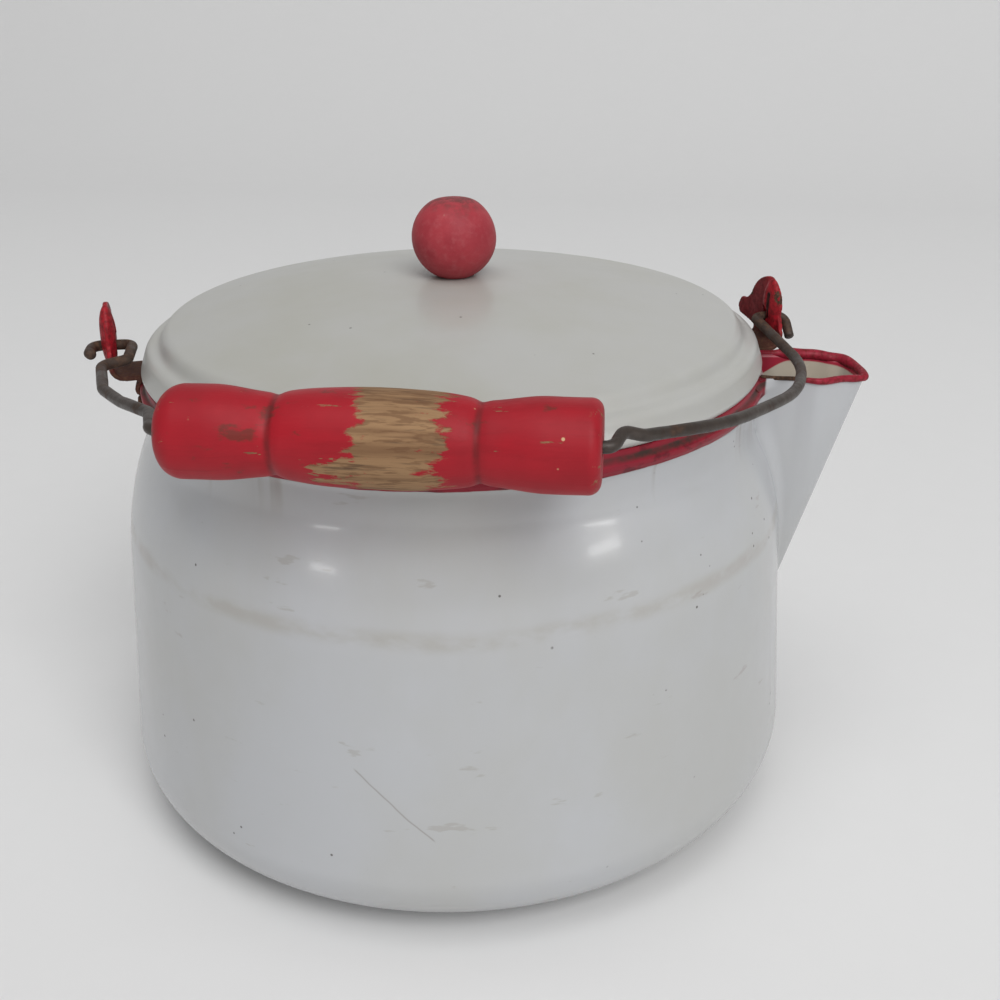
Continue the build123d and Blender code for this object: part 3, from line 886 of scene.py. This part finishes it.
# Ears: the solid's own sheet, refined by a voxel remesh, smoothed and beaten a little out of true

ears = {
    "voxel": 0.40 * mm,
    "smooth": 0.5,
    "smoothTimes": 4,
    "dent": 0.22,  # mm
    "grooveDepth": 0.8,  # mm, pressed into the leaf
    "grooveHalf": 1.25,
    "grooveAhead": 2.4,  # of the pivot
    "grooveLow": -0.5,  # above the pivot
    "grooveHigh": 10.6,
    "fade": 1.2,
    "leafAhead": -3.4,
    # mm inside the wire's turned eye, degrees from the ears' line
    "front": {"inside": 6.0, "turn": 13},
    "back": {"inside": 5.8, "turn": 4},
}


# a copy of a solid's mesh, its loose triangles merged
def copyOf(name, newName):
    mesh = bpy.data.objects[name].data.copy()
    rework(mesh, lambda work: bmesh.ops.remove_doubles(work, verts=work.verts, dist=1e-6))
    return addObject(newName, mesh)


# 1 between two values, falling to 0 over the fade inside them
def windowOf(value, low, high):
    return np.clip((value - low) / ears["fade"], 0, 1) * np.clip((high - value) / ears["fade"], 0, 1)


def makeEar(nodeName, pieceName, side, eye, place):
    piece = copyOf(nodeName, pieceName)
    remesh = piece.modifiers.new("even", "REMESH")
    remesh.mode = "VOXEL"
    remesh.voxel_size = ears["voxel"]
    relax = piece.modifiers.new("relax", "SMOOTH")
    relax.factor = ears["smooth"]
    relax.iterations = ears["smoothTimes"]
    bakeModifiers(piece)
    mesh = piece.data
    co = readAll(mesh.vertices, "co", width=3).reshape(-1, 3).astype(float)
    normals = readAll(mesh.vertex_normals, "vector", width=3).reshape(-1, 3).astype(float)
    # dents: a product of two slow waves, only inwards, so nothing grows past its neighbours
    x, y, z = (co / mm).T
    wave = np.sin(z / 3.1 + y / 2.3) * np.sin(x / 4.3 + z / 5.7)
    inward = ears["dent"] * (0.5 + 0.5 * wave)
    # a pressed line beside the leaf: a rounded trough up the ear, on the face towards the lid
    angle = turnAngle + np.radians(place["turn"])
    blade = np.array([np.sin(angle), -np.cos(angle), 0])
    away = np.array([np.cos(angle), np.sin(angle), 0]) * side
    centre = outward * side * (eye - place["inside"])
    ahead = (co / mm - centre) @ blade
    across = np.clip(1 - ((ahead - ears["grooveAhead"]) / ears["grooveHalf"]) ** 2, 0, 1)
    ends = windowOf(z - bail["pivot"], ears["grooveLow"], ears["grooveHigh"])
    facing = np.clip(0.4 - (normals @ away) * 2, 0, 1)
    groove = across * ends * facing
    inward = inward + ears["grooveDepth"] * groove
    co -= normals * inward[:, None] * mm
    mesh.vertices.foreach_set("co", co.astype(np.float32).ravel())
    mesh.polygons.foreach_set("use_smooth", np.ones(len(mesh.polygons), bool))
    ahead = (co / mm - centre) @ blade
    addLayer(mesh, "groove", groove)
    addLayer(mesh, "leaf", np.clip((ahead - ears["leafAhead"]) / ears["fade"], 0, 1))
    mesh.update()
    return piece


frontEar = makeEar("front_ear", "ear_by_spout", 1, bail["frontEye"], ears["front"])
backEar = makeEar("back_ear", "ear_opposite", -1, bail["backEye"], ears["back"])
print("ears:", len(frontEar.data.polygons) + len(backEar.data.polygons), "faces")


# Finishes

colours = {
    "enamel": (0.462, 0.472, 0.489),
    "enamelWarm": (0.438, 0.441, 0.434),
    "enamelPale": (0.62, 0.63, 0.64),
    "lidEnamel": (0.430, 0.430, 0.413),
    "lidWarm": (0.395, 0.392, 0.350),
    "run": (0.20, 0.145, 0.10),
    "line": (0.30, 0.26, 0.20),
    "smear": (0.26, 0.225, 0.18),
    "scratch": (0.24, 0.22, 0.20),
    "foot": (0.22, 0.21, 0.20),
    "red": (0.350, 0.010, 0.019),
    "redDeep": (0.300, 0.010, 0.018),
    "redDark": (0.150, 0.007, 0.010),
    "bandRed": (0.270, 0.009, 0.024),
    "bandMid": (0.235, 0.012, 0.026),
    "bandDark": (0.130, 0.006, 0.014),
    "lipRed": (0.320, 0.014, 0.036),
    # painted shade for the ears' flat faces
    "earFlatShade": (0.085, 0.006, 0.008),
    # painted shade for the ears' pressed lines
    "earGrooveShade": (0.020, 0.010, 0.008),
    "rust": (0.044, 0.022, 0.014),
    "rustLight": (0.100, 0.052, 0.030),
    # dirt, also used as painted shade in the band's crease
    "dirtAndShade": (0.040, 0.028, 0.022),
    "steel": (0.052, 0.040, 0.033),
    "steelDark": (0.026, 0.020, 0.016),
    "fastener": (0.30, 0.28, 0.26),
    "fastenerRust": (0.16, 0.10, 0.06),
    "wood": (0.310, 0.185, 0.095),
    "woodDark": (0.120, 0.056, 0.027),
    "gripRub": (0.100, 0.028, 0.018),
    "gripSpeck": (0.55, 0.36, 0.20),
    # painted shade for the grip's waists
    "waistShade": (0.095, 0.010, 0.010),
    "knob": (0.390, 0.042, 0.055),
    "knobDeep": (0.310, 0.028, 0.040),
    "knobFaded": (0.44, 0.11, 0.12),
    "knobDirt": (0.085, 0.030, 0.026),
    "knobChip": (0.42, 0.30, 0.21),
    "cream": (0.47, 0.42, 0.35),
    "creamDark": (0.36, 0.30, 0.22),
    "deposit": (0.14, 0.08, 0.045),
    "paper": (0.755, 0.755, 0.755),
    "paperShade": (0.743675, 0.743675, 0.743675),
}

# lengths in m, angles in radians round the pot from the spout
band = {
    "low": 0.1604,  # lower edge of the red band on the neck
    "soft": 0.00018,
    "crease": 0.1653,
    "waviness": 0.00242,
    "ragged": 0.0007,
    "climb": (0.0110, 0.09, 0.17),  # up beside the spout, full before the first angle
    "dip": (0.0030, 0.22, 0.42),
    "outside": (0.1093, 0.1097),  # paint starts between these radii
    "spoutEnd": (0.1132, 0.1140),  # and ends here on the spout
}

marks = {
    "runLength": 0.016,
    "lineHeight": 0.1165,  # the dull line a little under the shoulder
    "lineHalf": (0.0006, 0.0046),
    "lineWaver": 0.006,
    "scratchAngles": (-1.700, -1.490),
    "scratchHeights": (0.071, 0.046),
    "scratchHalf": (0.0001, 0.0006),
    "scratchWander": 0.0022,
    "footHeight": 0.022,
}


# marks shared by all the enamel: soft clouds, fine mottling and dark specks here and there
def enamelMarks(coords):
    cloud = noiseOf(coords, (14, 14, 9), 5, 0.55)
    fine = noiseOf(coords, (55, 55, 55), 4, 0.6)
    some = noiseOf(coords, (40, 40, 40), 3, 0.5, (3, 1, 2))
    speck = fadeOf(dotsOf(coords, 150.0), 0.05, 0.09) * stepOf(some, 0.56, 0.60)
    return cloud, fine, speck


# cool and warm enamel in clouds; the pot and the spout also carry the band's paint
def enamelMaterial(name, light, warm, dull=0.16, coat=0.25, onPot=False, onSpout=False):
    material, bsdf, coords = newShader(name)
    x, y, z = splitOf(coords)
    # angle round the pot's axis in radians, 0 at the spout
    angle = mathOf("ARCTAN2", y, x)
    cloud, fine, speck = enamelMarks(coords)
    base = mixOf(stepOf(cloud, 0.35, 0.70), light, warm)
    base = mixOf(stepOf(fine, 0.45, 0.75) * 0.03, base, "enamelPale")
    if onPot:
        base = potMarks(coords, z, angle, base)
    base = mixOf(speck * 0.75, base, "dirtAndShade")
    rough = rangeOf(fine, 0.0, 1.0, dull, dull + 0.14)
    normal = bumpOf(cloud * 0.9 + fine * 0.10, 0.35, 0.0012)
    feed(bsdf, {"Coat Weight": coat, "Coat Roughness": 0.08})
    if onPot or onSpout:
        paint = paintMask(coords, x, y, z, angle, onSpout)
        base = mixOf(paint, base, paintColour(coords, z))
        rough = rough + paint * 0.22
        normal = bumpOf(paint, 0.4, 0.0002, normal)
        gloss = rangeOf(paint, 0.0, 1.0, 0.5, 0.25)
        feed(bsdf, {"Coat Weight": rangeOf(paint, 0.0, 1.0, 0.25, 0.03), "Specular IOR Level": gloss})
    feed(bsdf, {"Base Color": base, "Roughness": rough, "Normal": normal})
    return material


# 1 on the painted band: outside, above its wavy lower edge, and not rubbed off;
# beside the spout the edge dips a little and then climbs to the rim
def paintMask(coords, x, y, z, angle, onSpout):
    wave = noiseOf(coords, (22, 22, 6), 3, 0.5) - 0.5
    fine = noiseOf(coords, (160, 160, 60), 2, 0.5) - 0.5
    edge = wave * band["waviness"] + band["low"] + fine * band["ragged"]
    climb, *climbFade = band["climb"]
    dip, *dipFade = band["dip"]
    edge = edge + fadeOf(abs(angle), *climbFade) * climb - fadeOf(abs(angle), *dipFade) * dip
    away = mathOf("SQRT", x * x + y * y)
    rubbed = noiseOf(coords, (90, 90, 90), 5, 0.62, (1, 4, 2))
    mask = stepOf(z - edge, -band["soft"], band["soft"]) * stepOf(away, *band["outside"])
    mask = mask * fadeOf(rubbed, 0.74, 0.77)
    # on the spout only its run-out along the neck is painted
    return mask * fadeOf(away, *band["spoutEnd"]) if onSpout else mask


def paintColour(coords, z):
    cloud = noiseOf(coords, (45, 45, 90), 5, 0.6)
    patches = noiseOf(coords, (120, 120, 160), 4, 0.65, (2, 2, 2))
    red = mixOf(stepOf(cloud, 0.35, 0.68), "bandRed", "bandMid")
    red = mixOf(stepOf(patches, 0.50, 0.64), red, "bandDark")
    # dirt and painted shade darken the crease over the bead
    crease = fadeOf(abs(z - band["crease"]), 0.0003, 0.0014)
    return mixOf(crease * rangeOf(patches, 0.3, 0.6, 0.35, 0.95), red, "dirtAndShade")


def potMarks(coords, z, angle, base):
    # brown runs below the band
    runs = noiseOf(coords, (75, 75, 3.0), 3, 0.6)
    below = fadeOf(band["low"] - z, 0.0, marks["runLength"])
    base = mixOf(stepOf(runs, 0.56, 0.66) * below * 0.40, base, "run")
    # the dull line, broken and wavering
    waver = (noiseOf(coords, 14.0, 3, 0.5) - 0.5) * marks["lineWaver"]
    line = fadeOf(abs(z + waver - marks["lineHeight"]), *marks["lineHalf"])
    broken = stepOf(noiseOf(coords, (34, 34, 70), 4, 0.6, (7, 0, 3)), 0.38, 0.62)
    base = mixOf(line * broken * 0.33, base, "line")
    # a few faint brownish smears, longer round the pot than up it
    smear = noiseOf(coords, (38, 38, 150), 4, 0.6, (2, 5, 1))
    base = mixOf(stepOf(smear, 0.655, 0.70) * 0.28, base, "smear")
    # one long slanting scratch on the front: its height falls evenly with the angle
    along = rangeOf(angle, *marks["scratchAngles"], 0.0, 1.0)
    fall = rangeOf(along, 0.0, 1.0, *marks["scratchHeights"])
    wander = (noiseOf(coords, 60.0, 2, 0.5) - 0.5) * marks["scratchWander"]
    thin = fadeOf(abs(z + wander - fall), *marks["scratchHalf"])
    thin = thin * (stepOf(along, 0.0, 0.05) * fadeOf(along, 0.95, 1.0)) * stepOf(runs, 0.30, 0.40)
    base = mixOf(thin * 0.55, base, "scratch")
    # darker towards the base, over its lowest 22 mm
    return mixOf(fadeOf(z, 0.0, marks["footHeight"]) * 0.35, base, "foot")


def rustOf(fine):
    return mixOf(stepOf(fine, 0.4, 0.65), "rust", "rustLight")


# paint over rusty steel: red where it holds, rust where it is gone
def redPaintMaterial(name, hold, red, dark):
    material, bsdf, coords = newShader(name)
    big = noiseOf(coords, (130, 130, 130), 6, 0.65)
    small = noiseOf(coords, (700, 700, 700), 4, 0.6)
    painted = fadeOf(big, hold - 0.02, hold + 0.02)
    tone = mixOf(stepOf(small, 0.35, 0.7), red, "redDark")
    onEar = name == "ear_paint"
    if onEar:
        # the leaf is left red, the flat gets painted shade, and the foot goes dark brown
        tone = mixOf(0.50 - attributeOf(coords, "leaf") * 0.50, tone, "earFlatShade")
        bare = fadeOf(splitOf(coords)[2], 0.168, 0.175) * 0.92
    else:
        bare = attributeOf(coords, "bare")
    painted = mathOf("SUBTRACT", painted, bare, True)
    tone = mixOf(painted, rustOf(small), mixOf(dark, tone, "redDark"))
    if onEar:
        # painted shade fills the pressed line
        groove = stepOf(attributeOf(coords, "groove"), 0.15, 0.6)
        tone = mixOf(groove * 0.9, tone, "earGrooveShade")
    feed(bsdf, {
        "Base Color": tone,
        "Roughness": rangeOf(small, 0.3, 0.7, 0.65, 0.9) - painted * 0.25,
        "Specular IOR Level": 0.25,
        "Normal": bumpOf(painted * 0.5 + small * 0.5, 0.6, 0.0004),
    })
    return material


# dark oxidised wire, brown and rough towards its eyes
def wireMaterial():
    material, bsdf, coords = newShader("old_bail_wire")
    nearEye = fadeOf(attributeOf(coords, "fromEnd"), 24.0, 120.0)
    small = noiseOf(coords, (420, 420, 420), 5, 0.65)
    long = noiseOf(coords, (90, 90, 90), 4, 0.6)
    bare = mixOf(stepOf(long, 0.4, 0.7), "steel", "steelDark")
    spots = stepOf(long + nearEye * 0.24, 0.52, 0.80)
    feed(bsdf, {
        "Base Color": mixOf(spots, bare, rustOf(small)),
        "Metallic": 0.25,
        "Roughness": rangeOf(small, 0.3, 0.7, 0.34, 0.52) + spots * 0.30,
        "Normal": bumpOf(small, 0.5, 0.0003),
    })
    return material


# places on the grip in m: x from its middle, towards the spout
wear = {
    "bandX": 0.0065,  # the ragged band worn round the grip
    "bandHalf": (0.0095, 0.0125),
    "bandRagged": 0.034,
    "patchLeft": 0.0110,  # the scraped patch, left of and below the middle
    "patchDown": 0.0065,
    "patchHalf": (0.004, 0.014),
    "waist": 0.0282,
    "waistHalf": (0.0002, 0.0016),
    "end": (0.057, 0.0615),
}


def gripMaterial():
    material, bsdf, coords = newShader("worn_red_wood")
    here = moved(coords, (1, 1, 1), tuple(-c * mm for c in handle["centre"]))
    x, y, z = splitOf(here)
    # grain, fibres and pores run along the grip: noise stretched along X
    lines = noiseOf(here, (12, 260, 260), 5, 0.6, distortion=0.3)
    pores = noiseOf(here, (36, 780, 780), 3, 0.6)
    fibres = noiseOf(here, (110, 900, 900), 3, 0.6, (1, 2, 3))
    bare = mixOf(stepOf(lines, 0.40, 0.70) * 0.65, "wood", "woodDark")
    bare = mixOf(stepOf(fibres, 0.50, 0.60) * 0.55, bare, "woodDark")
    bare = mixOf(stepOf(pores, 0.58, 0.70) * 0.5, bare, "dirtAndShade")
    cloud = noiseOf(here, (50, 50, 50), 4, 0.6)
    red = mixOf(stepOf(cloud, 0.35, 0.7), "red", "redDeep")
    red = mixOf(stepOf(lines, 0.5, 0.75) * 0.25, red, "redDark")
    # brown rubs, mostly on the left half, and a few light specks
    rub = noiseOf(here, (60, 110, 110), 5, 0.66, (3, 0, 5))
    rubs = stepOf(rub + fadeOf(x, -0.045, 0.055) * 0.05, 0.62, 0.70)
    red = mixOf(rubs * 0.70, red, "gripRub")
    few = noiseOf(here, (60, 60, 60), 2, 0.5, (8, 3, 1))
    speck = fadeOf(dotsOf(here, 130.0), 0.045, 0.08) * stepOf(few, 0.52, 0.56)
    red = mixOf(speck, red, "gripSpeck")
    # painted shade in the two waists
    far = abs(x)
    waist = fadeOf(abs(far - wear["waist"]), *wear["waistHalf"])
    red = mixOf(waist * rangeOf(rub, 0.35, 0.6, 0.25, 0.75), red, "waistShade")
    # worn through: a ragged band, scrapes that follow the grain, and the ends' edges
    ragged = (noiseOf(here, (90, 260, 260), 5, 0.65) - 0.5) * wear["bandRagged"]
    worn = fadeOf(abs(x - wear["bandX"] + ragged), *wear["bandHalf"])
    near = mathOf("MAXIMUM", abs(x + wear["patchLeft"]), abs(z + wear["patchDown"]) * 1.6)
    near = fadeOf(near, *wear["patchHalf"]) * fadeOf(y, -0.006, 0.0)
    scrape = noiseOf(here, (55, 300, 300), 5, 0.68, (4, 1, 0))
    scraped = stepOf(scrape + near * 0.18, 0.665, 0.690)
    edges = noiseOf(here, (230, 230, 230), 4, 0.7, (1, 1, 1))
    onEdge = stepOf(far, *wear["end"]) * stepOf(edges, 0.60, 0.66)
    gone = mathOf("MAXIMUM", mathOf("MAXIMUM", worn, scraped), onEdge)
    feed(bsdf, {
        "Base Color": mixOf(gone, red, bare),
        "Roughness": rangeOf(cloud, 0.3, 0.7, 0.42, 0.55) + gone * 0.25,
        "Specular IOR Level": 0.22,
        "Normal": bumpOf(lines * 0.6 - gone * 0.7, 0.5, 0.0005),
    })
    return material


def knobMaterial():
    material, bsdf, coords = newShader("faded_red_ball")
    here = moved(coords, (1, 1, 1), (0, 0, -ball["middle"] * mm))
    cloud = noiseOf(here, (60, 60, 60), 5, 0.6)
    fine = noiseOf(here, (380, 380, 380), 5, 0.68)
    red = mixOf(stepOf(cloud, 0.35, 0.68), "knob", "knobDeep")
    red = mixOf(stepOf(fine, 0.45, 0.75) * 0.4, red, "knobFaded")
    # handling has darkened the crown
    crown = stepOf(splitOf(here)[2] + (cloud - 0.5) * 0.012, 0.0085, 0.0140)
    red = mixOf(crown * stepOf(fine, 0.38, 0.58) * 0.7, red, "knobDirt")
    feed(bsdf, {
        "Base Color": mixOf(stepOf(fine, 0.70, 0.73), red, "knobChip"),
        "Roughness": rangeOf(fine, 0.3, 0.7, 0.48, 0.66),
        "Specular IOR Level": 0.28,
        "Normal": bumpOf(fine + cloud, 0.35, 0.0005),
    })
    return material


# the spout inside: cream and stained, with the lip's paint run over the far edge
def spoutInsideMaterial():
    material, bsdf, coords = newShader("spout_inside_cream")
    x, y, z = splitOf(coords)
    cloud, fine, speck = enamelMarks(coords)
    base = mixOf(stepOf(cloud, 0.35, 0.7), "cream", "creamDark")
    # brown deposit gathers downwards and in streaks
    streak = noiseOf(coords, (150, 150, 20), 4, 0.6)
    stained = stepOf(streak + fadeOf(z, 0.110, 0.160) * 0.35, 0.52, 0.72)
    base = mixOf(stained * 0.75, base, "deposit")
    base = mixOf(speck * 0.8, base, "dirtAndShade")
    # the paint's lower edge, deepest at the far root
    depth = 0.1640 + fadeOf(x, 0.108, 0.124) * -0.0065 - (x - 0.124) * 0.076 + (cloud - 0.5) * 0.0024
    painted = stepOf(z - depth, -0.0003, 0.0003) * stepOf(y, 0.0, 0.003)
    feed(bsdf, {
        "Base Color": mixOf(painted, base, "lipRed"),
        "Roughness": rangeOf(fine, 0.3, 0.7, 0.18, 0.40),
        "Normal": bumpOf(cloud, 0.4, 0.0010),
    })
    return material


def plainSteelMaterial():
    material, bsdf, coords = newShader("dull_fastener_steel")
    small = noiseOf(coords, (400, 400, 400), 5, 0.6)
    feed(bsdf, {
        "Base Color": mixOf(stepOf(small, 0.4, 0.7), "fastener", "fastenerRust"),
        "Metallic": 0.8,
        "Roughness": rangeOf(small, 0.3, 0.7, 0.35, 0.6),
        "Normal": bumpOf(small, 0.3, 0.0003),
    })
    return material


potEnamel = enamelMaterial("grey_white_enamel", "enamel", "enamelWarm", onPot=True)
lidEnamel = enamelMaterial("lid_enamel", "lidEnamel", "lidWarm", dull=0.30, coat=0.10)
spoutEnamel = enamelMaterial("spout_enamel", "enamel", "enamelWarm", onSpout=True)
creamInside = spoutInsideMaterial()
earPaint = redPaintMaterial("ear_paint", 0.655, "red", 0.05)
lipPaint = redPaintMaterial("lip_paint", 0.68, "lipRed", 0.10)
bailSteel = wireMaterial()
redWood = gripMaterial()
faded = knobMaterial()
fastener = plainSteelMaterial()

finishPiece(potBody, "pot", "enamel_white", potEnamel)
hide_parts("pot_body")
finishPiece(spoutShell, "pot", "enamel_spout", spoutEnamel, creamInside)
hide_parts("spout")
finishPiece(spoutLip, "pot", "enamel_spout", lipPaint)
finishPiece(frontEar, "pot", "red_ear", earPaint)
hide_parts("front_ear")
finishPiece(backEar, "pot", "red_ear", earPaint)
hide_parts("back_ear")
finishPiece(wire, "bail", "bail_steel", bailSteel)
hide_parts("bail_wire")
finishPiece(woodGrip, "grip", "red_wood", redWood)
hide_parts("grip")
finishPiece(lidShell, "lid", "enamel_lid", lidEnamel)
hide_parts("lid")
finishPiece(lidBand, "lid", "enamel_lid", lidEnamel)
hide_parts("lid_flange")
finishPiece(knobBall, "lid", "knob_wood", faded)
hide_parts("knob")

# the spout's faces whose corners all lie inside take the second material
spoutMesh = spoutShell.data
inside = readAll(spoutMesh.attributes["inside"].data, "value")
corners = readAll(spoutMesh.loops, "vertex_index", np.int32)
starts = readAll(spoutMesh.polygons, "loop_start", np.int32)
share = np.add.reduceat(inside[corners], starts) / readAll(spoutMesh.polygons, "loop_total", np.int32)
spoutMesh.polygons.foreach_set("material_index", (share > 0.99).astype(np.int32))

for nodeName, material in (
    ("front_ear_rivets", earPaint),
    ("back_ear_rivets", earPaint),
    ("knob_screw", fastener),
    ("knob_washer", fastener),
):
    node = bpy.data.objects[nodeName]
    node.data.materials.clear()
    node.data.materials.append(material)
print("finishes set")


# Floor, light and camera

studio = {
    "floorHalf": 4.0,
    "under": 0.0002,  # floor below the pot, m
    "sweepFrom": 1.2,
    "sweepRadius": 1.2,
    "wallTop": 3.2,
    "world": 0.27,
    "camera": (0.07040, -0.44446, 0.31066),
    "right": (0.996410, 0.084346, 0.007327),
    "up": (-0.039595, 0.387746, 0.920915),
    "forward": (-0.074834, 0.917899, -0.389694),
    "lens": 45.64,
    "shift": (-0.04764, -0.02976),
    "aim": (0, 0, 0.1),  # of every light
}

# a broad key high in front on the right, a broad light overhead,
# and two small low panes whose reflections lie on the shoulder as the photo's window light does
lights = {
    "key": {"place": (1.7, -3.0, 3.2), "size": (2.2, 2.2), "power": 122},
    "overhead": {"place": (-0.2, -1.3, 4.0), "size": (2.6, 2.6), "power": 50},
    "left_pane": {"place": (-1.20, -1.70, 0.40), "size": (0.30, 0.10), "power": 0.9},
    "right_pane": {"place": (1.75, -1.15, 0.55), "size": (0.42, 0.12), "power": 1.5},
}


# a seamless sweep: flat floor, then an arc up into a wall far behind
def makeFloor():
    half, under, radius = studio["floorHalf"], studio["under"], studio["sweepRadius"]
    start = studio["sweepFrom"]
    turn = np.linspace(0, np.pi / 2, 20)
    profile = np.concatenate([
        [[-half, -under], [start, -under]],
        np.stack([start + radius * np.sin(turn), radius * (1 - np.cos(turn)) - under], -1),
        [[start + radius, studio["wallTop"]]],
    ])
    side = np.repeat([[-half, half]], len(profile), 0)
    points = np.stack([side, np.repeat(profile[:, :1], 2, 1), np.repeat(profile[:, 1:], 2, 1)], -1)
    faces = gridFaces(len(profile), 2, False)
    floor = makePiece("studio_floor", points, [faces], closed=False)
    material, bsdf, coords = newShader("studio_paper")
    tone = mixOf(noiseOf(coords, 60.0, 3, 0.5), "paperShade", "paper")
    feed(bsdf, {"Base Color": tone, "Roughness": 0.85, "Specular IOR Level": 0.2})
    floor.data.materials.append(material)


makeFloor()

bpy.context.scene.view_settings.view_transform = "Standard"
world = bpy.data.worlds.new("studio")
world.use_nodes = True
feed(world.node_tree.nodes["Background"], {"Color": (1.0, 1.0, 1.0, 1), "Strength": studio["world"]})
bpy.context.scene.world = world


# an object's matrix from its three axes and its place
def placedBy(x, y, z, place):
    rows = zip(x, y, z, place)
    return Matrix([*[tuple(float(v) for v in row) for row in rows], (0, 0, 0, 1)])


def softLight(name, place, size, power):
    data = bpy.data.lights.new(name, "AREA")
    data.shape = "RECTANGLE"
    data.size, data.size_y = size
    data.energy = power
    lamp = addObject(name, data)
    z = np.subtract(place, studio["aim"])
    z /= np.linalg.norm(z)
    x = np.cross((0, 0, 1), z)
    x /= np.linalg.norm(x)
    lamp.matrix_world = placedBy(x, np.cross(z, x), z, place)


for lightName, light in lights.items():
    softLight(lightName, **light)

cameraData = bpy.data.cameras.new("photo_view")
cameraData.sensor_width = 36
cameraData.lens = studio["lens"]
cameraData.shift_x, cameraData.shift_y = studio["shift"]
camera = addObject("photo_view", cameraData)
backward = [-f for f in studio["forward"]]
camera.matrix_world = placedBy(studio["right"], studio["up"], backward, studio["camera"])
bpy.context.scene.camera = camera
